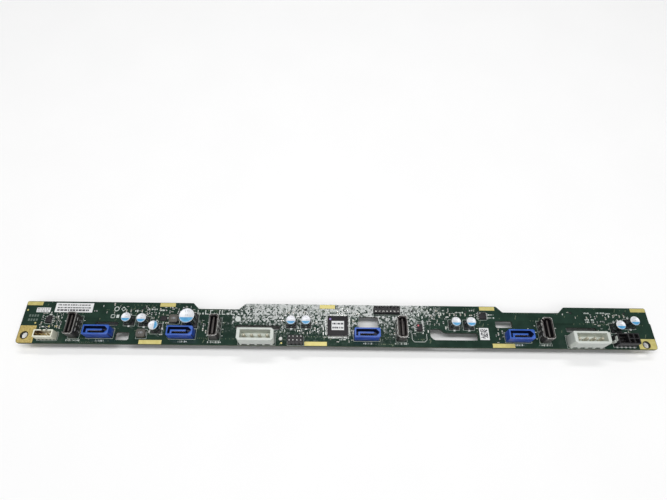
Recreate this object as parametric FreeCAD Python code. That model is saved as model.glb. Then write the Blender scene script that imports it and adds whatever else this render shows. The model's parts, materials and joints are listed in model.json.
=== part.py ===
import FreeCAD, Part
import math
import os
from FreeCAD import Vector

# Server drive backplane: one long board with four drive bays.  The component side
# faces up, and the drive receptacles hang from the other side.
# Frame: X runs along the board to the right, Y to its back edge, Z out of the
# component side.  The origin is the centre of the left mounting hole, on that side.

# ---------------------------------------------------------------- driving dimensions
# Board, millimetres
bay_count = 4
bay_pitch = 110.3
left_margin = 61.1                # left edge to the first bay's centre
right_margin = 35.0               # last bay's centre to the right edge
board_width = 29.5
board_thickness = 1.6
front_corner_radius = 2.0
back_corner_radius = 1.0
side_relief_depth = 0.7           # step in the right edge
side_relief_start = 17.8          # from the front edge
notch_depth = 4.2                 # air notches in the back edge, with 45 degree ends
notch_end_to_bay = 22.9           # right end of a notch to the centre of the next bay
first_notch_length = 35.7
second_notch_length = 47.4

# Routed air openings
opening_corner = 0.7              # bevelled inner corners
stepped_length = 32.0
stepped_depth = 5.0
stepped_end_depth = 7.6           # the deeper left end
stepped_end_length = 7.0
stepped_front_corner = 2.3

# Mounting holes and plated pads
mount_hole_diameter = 4.2
left_hole_inset = 4.4
left_hole_from_front = 5.5
right_hole_inset = 7.0
right_hole_from_front = 3.3
left_pad_size = (10.7, 11.9)
right_pad_size = (12.0, 7.1)
pad_thickness = 0.06
pad_pull_back = 0.25              # pads end this far inside the board's edge
pad_corner = 1.0
pad_hole_margin = 0.1
back_pad_size = (10.5, 2.7)
front_pad_size = (15.0, 2.8)

# Blind-mate drive receptacle, one to a bay
receptacle_length = 44.2
receptacle_width = 6.9
receptacle_height = 8.6
receptacle_from_back = 4.1        # its centre line to the board's back edge
receptacle_end_length = 4.6       # narrower guide block at each end
receptacle_end_width = 5.3
slot_length = 33.6
slot_width = 2.3
slot_depth = 6.2
slot_lead_in = 0.5
key_length = 1.7                  # wells of the L-shaped key at both ends of the slot
key_width = 1.2
guide_width = 2.4                 # groove open to the end, for the drive's guide arm
guide_depth = 5.4
peg_spacing = 37.4
peg_size = 1.4                    # eight-sided peg, across its flats
peg_hole_clearance = 0.2
blade_pitch = 1.27
blade_width = 0.55
blade_thickness = 0.25
blade_length = 5.0
fine_blade_pitch = 0.8
fine_blade_width = 0.35
signal_blades = 7
power_blades = 15
signal_row_inset = 2.2            # slot end to the first blade
row_gap = 4.1                     # last signal blade to the first power blade

# Seven-contact data header
data_length = 17.0
data_depth = 6.4
data_height = 8.4
data_wall = 0.9
data_floor = 1.9
data_key = 1.9                    # pointed end of the cavity
data_corner = 0.7
tongue_length = 10.4
tongue_thickness = 1.2
tongue_inset = 1.4                # cavity end to the tongue
tongue_hook = 1.5                 # how far the hook stands out from the tongue
tongue_below_rim = 0.6
data_contacts = 7
data_contact_width = 0.8
data_contact_thickness = 0.12

# Four-lane cable port
port_width = 6.6
port_length = 15.0
port_height = 9.6
port_shell_wall = 0.35
port_corner = 1.0
port_latch_drop = 2.0             # lowered edge of the latch side
port_latch_length = 12.6
port_window_width = 1.7
port_window_height = 1.3
port_window_spacing = 5.4
port_window_below_rim = 1.6
port_lining = 0.55
port_lining_below_rim = 0.5
port_lining_gap = 0.05
port_floor = 2.4
port_tongue_thickness = 0.9
port_tongue_length = 11.2
port_tongue_below_rim = 1.4

# Four-pin power header
power_pitch = 5.08
power_pins = 4
power_length = 24.0
power_depth = 8.5
power_height = 11.2
power_front_wall = 1.7
power_back_wall = 1.3
power_end_wall = 2.1
power_floor = 3.6
power_key = 1.5                   # chamfered corners, all but the back left one
power_back_corner = 0.4
power_channel_width = 3.6
power_channel_height = 2.2
power_channel_shift = -0.3        # channels stand this far off the pins
power_pin_diameter = 2.1
power_pin_below_rim = 1.6
power_pin_clearance = 0.1

# Five-pin signal header
signal_pitch = 2.5
signal_pins = 5
signal_end = 1.2                  # outer pin to the end of the housing
signal_depth = 5.0
signal_height = 7.0
signal_wall = 0.8
signal_floor = 1.6
signal_key_slot = 1.2
signal_key_spacing = 2.9
signal_key_shift = 0.5            # middle of the two slots, right of the housing's centre
signal_key_depth = 3.2
signal_gap_width = 1.3
signal_gap_height = 1.1

# Square pins and pin headers
square_pin = 0.64
header_pitch = 2.54
header_columns = 4
header_base = 6.6                 # tall moulding round the pins
header_pin_height = 7.4
header_cell_corner = 0.5
socket_columns = 7
socket_height = 3.0
socket_hole = 1.0
socket_floor = 0.5

# Auxiliary header: one wide cavity and a block of four cells
aux_length = 14.4
aux_depth = 7.2
aux_height = 7.2
aux_wall = 0.7
aux_floor = 1.6
aux_cavity_length = 6.0
aux_divider = 0.9
aux_cell_gap = 0.8
aux_pin = 0.64
aux_pin_below_rim = 1.5

# Capacitors: aluminium cans on moulded bases
can_diameter = 6.3
can_height = 7.7                  # board to the top of the can
can_base = 6.6
large_can_diameter = 10.0
large_can_height = 10.2
large_can_base = 10.3
can_base_height = 1.2
can_base_corner = 1.3
tab_width = 0.7
tab_length = 0.9
tab_thickness = 0.2

# Chips
main_chip_size = 14.0
main_chip_top = 1.5
chip_standoff = 0.1
chip_bevel = 0.25
main_leads_per_side = 16
main_lead_pitch = 0.8
main_lead_width = 0.36
lead_reach = 1.0
lead_foot = 0.5
lead_thickness = 0.15
small_chip_widths = [3.9, 3.9, 5.0]
small_chip_length = 4.9
small_chip_top = 1.6
small_leads_per_side = 4
small_lead_pitch = 1.27
small_lead_width = 0.42
converter_size = (4.2, 3.2, 0.9)
inductor_length = 6.1
inductor_width = 5.6
inductor_height = 3.0
inductor_corner = 0.9
terminal_width = 2.6
terminal_thickness = 0.15
terminal_height = 1.2
passive_size = (1.6, 0.8, 0.5)

# Labels
label_thickness = 0.1
address_label_size = (25.4, 6.7)
strip_label_size = (9.2, 3.3)
code_label_size = (6.4, 8.4)
chip_label_size = (8.4, 6.4)

# ---------------------------------------------------------------- derived places
board_length = left_margin + (bay_count - 1) * bay_pitch + right_margin
board_left = -left_hole_inset
board_right = board_left + board_length
board_front = -left_hole_from_front
board_back = board_front + board_width
board_bottom = -board_thickness
right_hole = (board_right - right_hole_inset, board_front + right_hole_from_front)


def bay(number, offset=0.0):
    """X of a bay's centre, numbered from 1, plus an offset along the board."""
    return board_left + left_margin + (number - 1) * bay_pitch + offset


def front(distance):
    """Y at a distance behind the front edge."""
    return board_front + distance


def from_back(distance):
    """Distance from the front edge of a place ahead of the back edge."""
    return board_width - distance


# Openings by bay: (bay, offset and distance from the front edge of the corner, length, depth)
opening_places = [
    (1, -11.9, 12.6, 15.4, 2.8),
    (1, 3.1, 2.8, 9.0, 5.4),
    (2, -28.5, 10.9, 30.2, 3.2),
    (3, -55.7, 13.0, 13.5, 7.8),
    (3, 37.9, 14.2, 11.6, 4.8),
    (4, -24.5, 11.7, 21.0, 3.2),
]
stepped_opening_place = (3, -7.2, 5.1)

# Edge pads by bay: (bay, offset of the left end)
back_pad_places = [(1, 29.2), (2, 28.2), (3, 28.3)]
front_pad_places = [(1, 19.3), (2, 18.4), (3, 34.0)]

# Parts by bay: (bay, offset along the board, distance from the front edge)
data_header_places = [(1, -7.0, 7.3), (1, 47.3, 7.3), (3, -50.2, 7.3), (4, -58.5, 7.3)]
cable_port_places = [(1, -24.2, 11.3), (2, -41.5, 11.0), (3, -27.0, 11.3), (4, -40.4, 11.3)]
power_header_places = [(2, -13.3, 4.5), (4, -13.6, 4.6)]
signal_header_place = (1, -41.0, 4.8)
pin_header_place = (2, 12.5, 3.2)
edge_socket_place = (3, -36.1, from_back(4.1))
aux_header_place = (4, 12.9, 5.5)
capacitor_places = [
    (1, 10.6, 16.3), (1, 20.8, 15.8), (1, 29.3, 10.9),
    (2, 9.3, 15.6), (2, 19.2, 15.7),
    (3, 9.3, 15.8), (3, 19.4, 15.8),
    (4, 9.7, 14.7), (4, 20.1, 17.7),
]
turned_capacitors = [2]           # these have their leads to the left and right
large_capacitor_place = (1, 51.1, 16.9)
main_chip_place = (2, 40.6, 14.0)
small_chip_places = [(1, -43.0, 16.4), (3, -14.4, 13.4), (3, 29.6, from_back(7.1))]
converter_place = (1, 33.2, 17.9)
inductor_places = [(1, 20.3, 7.1), (1, 40.4, 17.4)]
address_label_place = (1, -28.6, from_back(4.4))
strip_label_place = (1, -48.8, from_back(6.3))
code_label_place = (3, 29.4, 9.7)


# ---------------------------------------------------------------- building blocks
def block(x, y, z, length, depth, height):
    """A box from its lowest corner."""
    return Part.makeBox(length, depth, height, Vector(x, y, z))


def centred_block(x, y, z, length, depth, height):
    """A box centred on X and Y that stands on z."""
    return block(x - length / 2, y - depth / 2, z, length, depth, height)


def prism(points, z, height):
    """A polygon in the XY plane, extruded up from z."""
    corners = [Vector(x, y, z) for x, y in points]
    face = Part.Face(Part.makePolygon(corners + corners[:1]))
    return face.extrude(Vector(0, 0, height))


def pin(x, y, z, diameter, height):
    """A round pin that stands on z."""
    return Part.makeCylinder(diameter / 2, height, Vector(x, y, z))


def eight_sided(x, y, z, across, height):
    """An upright bar with eight sides, sized across its flats."""
    corner = across * (1 - math.sqrt(0.5))
    return prism([(x + u, y + v) for u, v in clipped_outline(across, across, (corner,) * 4)], z, height)


def clipped_outline(length, depth, corners):
    """A centred rectangle with its corners cut at 45 degrees.

    The corners go round from front left to front right, back right, back left.
    """
    half_length = length / 2
    half_depth = depth / 2
    front_left, front_right, back_right, back_left = corners
    points = [
        (-half_length, -half_depth + front_left), (-half_length + front_left, -half_depth),
        (half_length - front_right, -half_depth), (half_length, -half_depth + front_right),
        (half_length, half_depth - back_right), (half_length - back_right, half_depth),
        (-half_length + back_left, half_depth), (-half_length, half_depth - back_left),
    ]
    return [p for p, q in zip(points, points[1:] + points[:1]) if p != q]


def upright_edges(shape):
    """The edges that run along Z."""
    found = []
    for edge in shape.Edges:
        ends = edge.Vertexes
        if len(ends) == 2 and abs(ends[0].X - ends[1].X) + abs(ends[0].Y - ends[1].Y) < 1e-6:
            found.append(edge)
    return found


def place(shape, spot, z=0.0, turn=0.0):
    """Move a copy of a shape from its own origin to its bay."""
    number, offset, from_front = spot
    moved = shape.copy()
    moved.rotate(Vector(0, 0, 0), Vector(0, 0, 1), turn)
    moved.translate(Vector(bay(number, offset), front(from_front), z))
    return moved


def row(count, pitch):
    """Places of a centred row."""
    return [(index - (count - 1) / 2) * pitch for index in range(count)]


# ---------------------------------------------------------------- board
def notch_ends():
    """The left and right end of each air notch in the back edge."""
    ends = []
    for number, length in ((2, first_notch_length), (4, second_notch_length)):
        right = bay(number, -notch_end_to_bay)
        ends.append((right - length, right))
    return ends


def board_outline():
    """The routed edge of the board, anticlockwise from the front left corner."""
    relief_x = board_right - side_relief_depth
    relief_y = front(side_relief_start)
    points = [
        (board_left, board_front), (board_right, board_front),
        (board_right, relief_y), (relief_x, relief_y + side_relief_depth),
        (relief_x, board_back),
    ]
    for left, right in reversed(notch_ends()):
        floor = board_back - notch_depth
        points += [(right, board_back), (right - notch_depth, floor)]
        points += [(left + notch_depth, floor), (left, board_back)]
    points.append((board_left, board_back))
    return points


def blank(z, height):
    """The board's outline as a solid with its corners rounded."""
    solid = prism(board_outline(), z, height)
    front_edges = [edge for edge in upright_edges(solid) if edge.Vertexes[0].Y < board_front + 0.01]
    solid = solid.makeFillet(front_corner_radius, front_edges)
    corners = [edge for edge in upright_edges(solid) if edge.Vertexes[0].Y > board_back - 0.01]
    ends = [min(corners, key=lambda e: e.Vertexes[0].X), max(corners, key=lambda e: e.Vertexes[0].X)]
    return solid.makeFillet(back_corner_radius, ends)


def routed(points):
    """An opening cut through the board, with its corners bevelled."""
    cutter = prism(points, board_bottom - 1, board_thickness + 2)
    return cutter.makeChamfer(opening_corner, upright_edges(cutter))


def routed_slot(number, offset, from_front, length, depth):
    """A rectangular opening from its front left corner."""
    x, y = bay(number, offset), front(from_front)
    return routed([(x, y), (x + length, y), (x + length, y + depth), (x, y + depth)])


def stepped_slot(number, offset, from_front):
    """The long air opening, deeper at its left end, with its front left corner cut."""
    x, y = bay(number, offset), front(from_front)
    corner = stepped_front_corner
    step = stepped_end_depth - stepped_depth
    return routed([
        (x + corner, y), (x + stepped_length, y), (x + stepped_length, y + stepped_depth),
        (x + stepped_end_length + step, y + stepped_depth),
        (x + stepped_end_length, y + stepped_end_depth),
        (x, y + stepped_end_depth), (x, y + corner),
    ])


def openings():
    """All the air openings through the board."""
    return [routed_slot(*place) for place in opening_places] + [stepped_slot(*stepped_opening_place)]


def mount_holes():
    """Cutters for the two mounting holes."""
    deep = board_thickness + 2
    return [
        pin(x, y, board_bottom - 1, mount_hole_diameter, deep)
        for x, y in ((0.0, 0.0), right_hole)
    ]


def circuit_board():
    cutters = openings() + mount_holes()
    peg_hole = peg_size + peg_hole_clearance
    for number in range(1, bay_count + 1):
        for side in (-1, 1):
            x = bay(number, side * peg_spacing / 2)
            y = board_back - receptacle_from_back
            cutters.append(eight_sided(x, y, board_bottom - 1, peg_hole, board_thickness + 2))
    return blank(board_bottom, board_thickness).cut(cutters)


def mount_pads():
    """The plated pads round the two mounting holes, their outer front corners clipped."""
    edge = pad_pull_back
    drill = mount_hole_diameter + 2 * pad_hole_margin
    pads = []
    for size, left, corners in (
        (left_pad_size, board_left + edge, (pad_corner, 0, 0, 0)),
        (right_pad_size, board_right - edge - right_pad_size[0], (0, pad_corner, 0, 0)),
    ):
        centre = (left + size[0] / 2, board_front + edge + size[1] / 2)
        outline = [(centre[0] + x, centre[1] + y) for x, y in clipped_outline(size[0], size[1], corners)]
        pads.append(prism(outline, 0, pad_thickness))
    holes = ((0.0, 0.0), right_hole)
    return [pad.cut(eight_sided(x, y, 0, drill, pad_thickness)) for pad, (x, y) in zip(pads, holes)]


def edge_pads():
    """Plain ground pads along both long edges."""
    pads = []
    inset = side_relief_depth + pad_pull_back
    length, depth = back_pad_size
    y = board_back - pad_pull_back - depth
    ends = [board_left + pad_pull_back, board_right - inset - length]
    for x in ends + [bay(*spot) for spot in back_pad_places]:
        pads.append(block(x, y, 0, length, depth, pad_thickness))
    length, depth = front_pad_size
    for spot in front_pad_places:
        pads.append(block(bay(*spot), board_front + pad_pull_back, 0, length, depth, pad_thickness))
    return pads


# ---------------------------------------------------------------- drive receptacle
def receptacle_outline():
    """The housing's plan: a wide middle with a narrower guide block at each end."""
    half = receptacle_length / 2
    inner = half - receptacle_end_length
    wide = receptacle_width / 2
    narrow = receptacle_end_width / 2
    step = wide - narrow
    right = [(inner - step, -wide), (inner, -narrow), (half, -narrow)]
    right += [(half, narrow), (inner, narrow), (inner - step, wide)]
    left = [(-x, -y) for x, y in right]
    return right + left


def drive_receptacle():
    """A blind-mate receptacle, mouth down, hung from the board's lower face."""
    mouth = -receptacle_height
    body = prism(receptacle_outline(), mouth, receptacle_height)
    tools = [centred_block(0, 0, mouth, slot_length, slot_width, slot_depth)]
    for side in (-1, 1):
        x = side * (slot_length - key_length) / 2
        y = (slot_width + key_width) / 2
        tools.append(centred_block(x, y, mouth, key_length, key_width, slot_depth))
        half = receptacle_length / 2
        groove = half - slot_length / 2 - 2 * slot_lead_in
        x = side * (half - groove / 2)
        tools.append(centred_block(x, 0, mouth, groove, guide_width, guide_depth))
    tools.append(lead_in(slot_length, slot_width, mouth))
    body = body.cut(tools)
    pegs = [
        eight_sided(side * peg_spacing / 2, 0, 0, peg_size, board_thickness)
        for side in (-1, 1)
    ]
    return body.fuse(pegs)


def lead_in(length, width, z):
    """The sloping mouth of a slot, widest at z."""
    x, y, grow = length / 2, width / 2, slot_lead_in
    return Part.makeWedge(-x - grow, z, -y - grow, -y, -x, x + grow, z + grow, y + grow, y, x)


def receptacle_blades():
    """Contact blades on the two long walls of the receptacle's slot."""
    z = -receptacle_height + slot_depth - blade_length
    wall = slot_width / 2
    blades = []
    first = -slot_length / 2 + signal_row_inset
    signal_end = first + (signal_blades - 1) * blade_pitch
    starts = [(first, signal_blades), (signal_end + row_gap, power_blades)]
    for start, count in starts:
        for index in range(count):
            x = start + index * blade_pitch
            blades.append(block(x - blade_width / 2, -wall, z, blade_width, blade_thickness, blade_length))
    middle = signal_end + row_gap / 2
    for offset in row(signal_blades, fine_blade_pitch):
        x = middle + offset - fine_blade_width / 2
        y = wall - blade_thickness
        blades.append(block(x, y, z, fine_blade_width, blade_thickness, blade_length))
    return Part.makeCompound(blades)


# ---------------------------------------------------------------- headers and ports
def data_header():
    """Seven-contact header: a keyed shroud round an L-shaped tongue."""
    corner = data_corner
    shroud = prism(clipped_outline(data_length, data_depth, (0, corner, corner, 0)), 0, data_height)
    inner_length = data_length - 2 * data_wall
    inner_depth = data_depth - 2 * data_wall
    key = clipped_outline(inner_length, inner_depth, (0, data_key, data_key, 0))
    shroud = shroud.cut(prism(key, data_floor, data_height))
    left = -inner_length / 2 + tongue_inset
    half = tongue_thickness / 2
    tongue = prism([
        (left, half), (left, -half - tongue_hook), (left + tongue_thickness, -half - tongue_hook),
        (left + tongue_thickness, -half), (left + tongue_length, -half), (left + tongue_length, half),
    ], data_floor, data_height - tongue_below_rim - data_floor)
    return shroud.fuse(tongue).removeSplitter()


def data_header_contacts():
    """Contact strips on the tongue, on the side of its hook."""
    left = -data_length / 2 + data_wall + tongue_inset + tongue_thickness
    centre = left + (tongue_length - tongue_thickness) / 2
    top = data_height - tongue_below_rim - data_contact_width / 2
    y = -tongue_thickness / 2 - data_contact_thickness
    strips = [
        block(centre + offset - data_contact_width / 2, y, data_floor,
              data_contact_width, data_contact_thickness, top - data_floor)
        for offset in row(data_contacts, blade_pitch)
    ]
    return Part.makeCompound(strips)


def cable_port_shell():
    """Folded metal shell of a cable port, open at the top, its latch side lower."""
    wall = port_shell_wall
    corners = (port_corner,) * 4
    outside = prism(clipped_outline(port_width, port_length, corners), 0, port_height)
    inside = clipped_outline(port_width - 2 * wall, port_length - 2 * wall, corners)
    shell = outside.cut(prism(inside, -1, port_height + 2))
    latch_z = port_height - port_latch_drop
    tools = [centred_block(-port_width / 2, 0, latch_z, 2 * wall + 1, port_latch_length, port_height)]
    window_z = port_height - port_window_below_rim - port_window_height
    for side in (-1, 1):
        y = side * port_window_spacing / 2
        tools.append(centred_block(
            port_width / 2, y, window_z, 2 * wall + 1, port_window_width, port_window_height))
    return shell.cut(tools)


def cable_port_insert():
    """Moulded lining, floor and contact tongue inside the shell."""
    gap = port_shell_wall + port_lining_gap
    corners = (port_corner,) * 4
    top = port_height - port_lining_below_rim
    outside = clipped_outline(port_width - 2 * gap, port_length - 2 * gap, corners)
    body = prism(outside, 0, top)
    gap += port_lining
    cavity = clipped_outline(port_width - 2 * gap, port_length - 2 * gap, corners)
    body = body.cut(prism(cavity, port_floor, port_height))
    latch_z = port_height - port_latch_drop
    body = body.cut(centred_block(-port_width / 2, 0, latch_z, 2 * gap, port_latch_length, port_height))
    tongue_height = port_height - port_tongue_below_rim - port_floor
    tongue = centred_block(0, 0, port_floor, port_tongue_thickness, port_tongue_length, tongue_height)
    return body.fuse(tongue).removeSplitter()


def power_header():
    """Four-pin power header with a D-shaped shroud on washing channels."""
    key, back = power_key, power_back_corner
    body = prism(clipped_outline(power_length, power_depth, (key, key, key, back)), 0, power_height)
    inner_depth = power_depth - power_front_wall - power_back_wall
    inner_y = (power_front_wall - power_back_wall) / 2
    body = body.cut(centred_block(
        0, inner_y, power_floor, power_length - 2 * power_end_wall, inner_depth, power_height))
    tools = []
    for x in row(power_pins, power_pitch):
        tools.append(centred_block(
            x + power_channel_shift, 0, -1, power_channel_width, power_depth + 2, power_channel_height + 1))
        tools.append(eight_sided(x, 0, 0, power_pin_diameter + power_pin_clearance, power_floor + 1))
    return body.cut(tools)


def power_header_pins():
    height = power_height - power_pin_below_rim
    pins = [pin(x, 0, 0, power_pin_diameter, height) for x in row(power_pins, power_pitch)]
    return Part.makeCompound(pins)


def signal_header():
    """Five-pin header with two polarising slots in its back wall and a gap at each pin in front."""
    length = (signal_pins - 1) * signal_pitch + 2 * signal_end
    wall = signal_wall
    body = centred_block(0, 0, 0, length, signal_depth, signal_height)
    tools = [centred_block(
        0, 0, signal_floor, length - 2 * wall, signal_depth - 2 * wall, signal_height)]
    for side in (-1, 1):
        x = signal_key_shift + side * signal_key_spacing / 2
        z = signal_height - signal_key_depth
        tools.append(centred_block(x, signal_depth / 2, z, signal_key_slot, 3 * wall, signal_height))
    for x in row(signal_pins, signal_pitch):
        tools.append(centred_block(
            x, -signal_depth / 2, -1, signal_gap_width, 3 * wall, signal_gap_height + 1))
        tools.append(centred_block(x, 0, 0, square_pin, square_pin, signal_floor + 1))
    return body.cut(tools)


def square_pins(columns, pitch, height, lines=(0.0,)):
    """Square pins in one or more lines, from the board up."""
    pins = [
        centred_block(x, y, 0, square_pin, square_pin, height)
        for x in row(columns, pitch) for y in lines
    ]
    return Part.makeCompound(pins)


def header_base_outline():
    """Two rows of chamfered cells, as a comb of small notches along both sides."""
    half = header_pitch
    corner = header_cell_corner
    side = []
    for x in row(header_columns, header_pitch):
        left, right = x - header_pitch / 2, x + header_pitch / 2
        side += [(left, -half + corner), (left + corner, -half), (right - corner, -half)]
    side.append((header_columns * header_pitch / 2, -half + corner))
    return side + [(-x, -y) for x, y in side]


def pin_header_base():
    base = prism(header_base_outline(), 0, header_base)
    holes = [
        centred_block(x, y, 0, square_pin, square_pin, header_base)
        for x in row(header_columns, header_pitch) for y in row(2, header_pitch)
    ]
    return base.cut(holes)


def edge_socket():
    """Low two-row socket near the back edge."""
    length = socket_columns * header_pitch
    body = centred_block(0, 0, 0, length, 2 * header_pitch, socket_height)
    holes = [
        centred_block(x, y, socket_floor, socket_hole, socket_hole, socket_height)
        for x in row(socket_columns, header_pitch) for y in row(2, header_pitch)
    ]
    return body.cut(holes)


def aux_header_cells():
    """Centres and sizes of the auxiliary header's cavities: (x, y, length, depth)."""
    left = -aux_length / 2 + aux_wall
    depth = aux_depth - 2 * aux_wall
    cavities = [(left + aux_cavity_length / 2, 0.0, aux_cavity_length, depth)]
    start = left + aux_cavity_length + aux_divider
    room = aux_length / 2 - aux_wall - start
    cell_length = (room - aux_cell_gap) / 2
    cell_depth = (depth - aux_cell_gap) / 2
    for column in range(2):
        x = start + cell_length / 2 + column * (cell_length + aux_cell_gap)
        for side in (-1, 1):
            y = side * (cell_depth + aux_cell_gap) / 2
            cavities.append((x, y, cell_length, cell_depth))
    return cavities


def aux_pin_places():
    """One pin in each small cell and a two by two set in the wide cavity."""
    wide = aux_header_cells()[0]
    spots = [(wide[0] + x, wide[1] + y) for x in row(2, header_pitch) for y in row(2, header_pitch)]
    return spots + [(x, y) for x, y, length, depth in aux_header_cells()[1:]]


def aux_header():
    body = centred_block(0, 0, 0, aux_length, aux_depth, aux_height)
    tools = [
        centred_block(x, y, aux_floor, length, depth, aux_height)
        for x, y, length, depth in aux_header_cells()
    ]
    tools += [centred_block(x, y, 0, aux_pin, aux_pin, aux_floor + 1) for x, y in aux_pin_places()]
    return body.cut(tools)


def aux_header_pins():
    height = aux_height - aux_pin_below_rim
    return Part.makeCompound([
        centred_block(x, y, 0, aux_pin, aux_pin, height) for x, y in aux_pin_places()
    ])


# ---------------------------------------------------------------- parts on the board
def capacitor_can(diameter, height):
    """An aluminium can that stands on its base."""
    return pin(0, 0, can_base_height, diameter, height - can_base_height)


def capacitor_base(size):
    """Moulded base with two clipped corners on the positive side."""
    corner = can_base_corner
    return prism(clipped_outline(size, size, (0, 0, corner, corner)), 0, can_base_height)


def capacitor_tabs(size):
    """The solder tabs at the front and back of a base."""
    reach = (size + tab_length) / 2
    return Part.makeCompound([
        centred_block(0, side * reach, 0, tab_width, tab_length, tab_thickness) for side in (-1, 1)
    ])


def chip_body(length, width, top):
    """A moulded chip whose upper edges are bevelled."""
    body = centred_block(0, 0, chip_standoff, length, width, top - chip_standoff)
    upper = [edge for edge in body.Edges if min(v.Z for v in edge.Vertexes) > top - 0.01]
    return body.makeChamfer(chip_bevel, upper)


def gull_leads(half_width, count, pitch, width, top):
    """Leads along the right side of a chip, from its shoulder down to a flat foot."""
    shoulder = chip_standoff + (top - chip_standoff) / 2
    tip = half_width + lead_reach
    profile = [
        (half_width, shoulder), (half_width, shoulder - lead_thickness),
        (tip - lead_foot, 0), (tip, 0),
    ]
    leads = []
    for y in row(count, pitch):
        corners = [Vector(x, y - width / 2, z) for x, z in profile]
        face = Part.Face(Part.makePolygon(corners + corners[:1]))
        leads.append(face.extrude(Vector(0, width, 0)))
    return Part.makeCompound(leads)


def turned(shape, angle):
    """A copy turned about Z."""
    copy = shape.copy()
    copy.rotate(Vector(0, 0, 0), Vector(0, 0, 1), angle)
    return copy


def main_chip_leads():
    side = gull_leads(
        main_chip_size / 2, main_leads_per_side, main_lead_pitch, main_lead_width, main_chip_top)
    return Part.makeCompound([turned(side, angle) for angle in (0, 90, 180, 270)])


def small_chip_leads(chip_width):
    side = gull_leads(
        chip_width / 2, small_leads_per_side, small_lead_pitch, small_lead_width, small_chip_top)
    return Part.makeCompound([turned(side, angle) for angle in (0, 180)])


def inductor():
    outline = clipped_outline(inductor_length, inductor_width, (inductor_corner,) * 4)
    return prism(outline, 0, inductor_height)


def inductor_terminals():
    """Solder terminals folded up at both ends of an inductor."""
    x = (inductor_length + terminal_thickness) / 2
    return Part.makeCompound([
        centred_block(side * x, 0, 0, terminal_thickness, terminal_width, terminal_height)
        for side in (-1, 1)
    ])


# Chip parts as (bay, offset, distance from the front edge, turned)
resistor_places = [
    (1, -47.6, from_back(10.9), True), (1, -45.9, 11.3, False),
    (1, -37.4, from_back(15.5), True), (1, -37.4, from_back(11.1), True),
    (1, 24.6, 21.3, True), (1, 27.4, 21.3, True), (1, 36.6, 22.8, True), (2, 4.6, 21.0, False),
    (2, 30.9, 8.8, True), (2, 30.9, 12.0, True), (3, -8.6, 17.0, True), (3, 2.4, 17.4, True),
    (3, 24.4, 22.9, True), (4, 1.4, 19.4, False), (4, 16.0, 11.4, False),
]
chip_capacitor_places = [
    (1, -47.6, from_back(15.5), True), (1, 25.0, 8.8, True), (1, 33.0, 6.8, False),
    (2, 14.3, 10.4, False),
    (2, 50.9, 9.4, True), (2, 50.9, 17.6, True), (3, -8.6, 11.0, True), (4, -1.0, 16.4, False),
    (4, 3.2, 4.8, True), (4, 4.6, 4.8, True),
]
bay_capacitor_offsets = [7.2, 10.3, 14.7, 17.8]
bay_capacitor_from_front = 23.2


def chip_parts(places):
    """Small chip resistors or capacitors, each a block of the same size."""
    length, width, height = passive_size
    part = centred_block(0, 0, 0, length, width, height)
    return [
        place(part, spot[:3], turn=90 if spot[3] else 0)
        for spot in places
    ]


def chip_capacitors():
    places = list(chip_capacitor_places)
    for number in range(1, bay_count + 1):
        for offset in bay_capacitor_offsets:
            places.append((number, offset, bay_capacitor_from_front, True))
    return chip_parts(places)


def label(size, spot, z=0.0):
    """A thin paper label that lies on z."""
    return place(centred_block(0, 0, 0, size[0], size[1], label_thickness), spot, z)


# ---------------------------------------------------------------- output
def save(name, shapes):
    """Write one shape, or a list of shapes, as one node."""
    shape = shapes if isinstance(shapes, Part.Shape) else Part.makeCompound(shapes)
    shape.exportStep("parts/" + name + ".step")


def save_repeats(name, shape, places):
    """One node for each place, numbered from 1."""
    for index, spot in enumerate(places):
        save(name + "_" + str(index + 1), place(shape, spot))


def save_board():
    save("circuit_board", circuit_board())
    save("ground_pads", mount_pads() + edge_pads())


def save_receptacles():
    spots = [
        (number, 0.0, from_back(receptacle_from_back)) for number in range(1, bay_count + 1)
    ]
    housing = drive_receptacle()
    blades = receptacle_blades()
    for index, spot in enumerate(spots):
        save("drive_receptacle_" + str(index + 1), place(housing, spot, board_bottom))
    save("drive_receptacle_blades", [place(blades, spot, board_bottom) for spot in spots])


def save_headers():
    save_repeats("data_header", data_header(), data_header_places)
    save("data_header_contacts", [place(data_header_contacts(), s) for s in data_header_places])
    save_repeats("cable_port_shell", cable_port_shell(), cable_port_places)
    save_repeats("cable_port_insert", cable_port_insert(), cable_port_places)
    save_repeats("power_header", power_header(), power_header_places)
    save_repeats("power_header_pins", power_header_pins(), power_header_places)
    save("signal_header", place(signal_header(), signal_header_place))
    pins = square_pins(signal_pins, signal_pitch, signal_height - signal_wall)
    save("signal_header_pins", place(pins, signal_header_place))
    save("pin_header_base", place(pin_header_base(), pin_header_place))
    pins = square_pins(header_columns, header_pitch, header_pin_height, row(2, header_pitch))
    save("pin_header_pins", place(pins, pin_header_place))
    save("edge_socket", place(edge_socket(), edge_socket_place))
    save("aux_header", place(aux_header(), aux_header_place))
    save("aux_header_pins", place(aux_header_pins(), aux_header_place))


def save_capacitors():
    small = capacitor_can(can_diameter, can_height)
    large = capacitor_can(large_can_diameter, large_can_height)
    cans = [place(small, spot) for spot in capacitor_places]
    cans.append(place(large, large_capacitor_place))
    bases = []
    tabs = []
    for index, spot in enumerate(capacitor_places):
        turn = 90 if index in turned_capacitors else 0
        bases.append(place(capacitor_base(can_base), spot, turn=turn))
        tabs.append(place(capacitor_tabs(can_base), spot, turn=turn))
    bases.append(place(capacitor_base(large_can_base), large_capacitor_place))
    tabs.append(place(capacitor_tabs(large_can_base), large_capacitor_place))
    save("capacitor_cans", cans)
    save("capacitor_bases", bases)
    save("capacitor_tabs", tabs)


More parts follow.
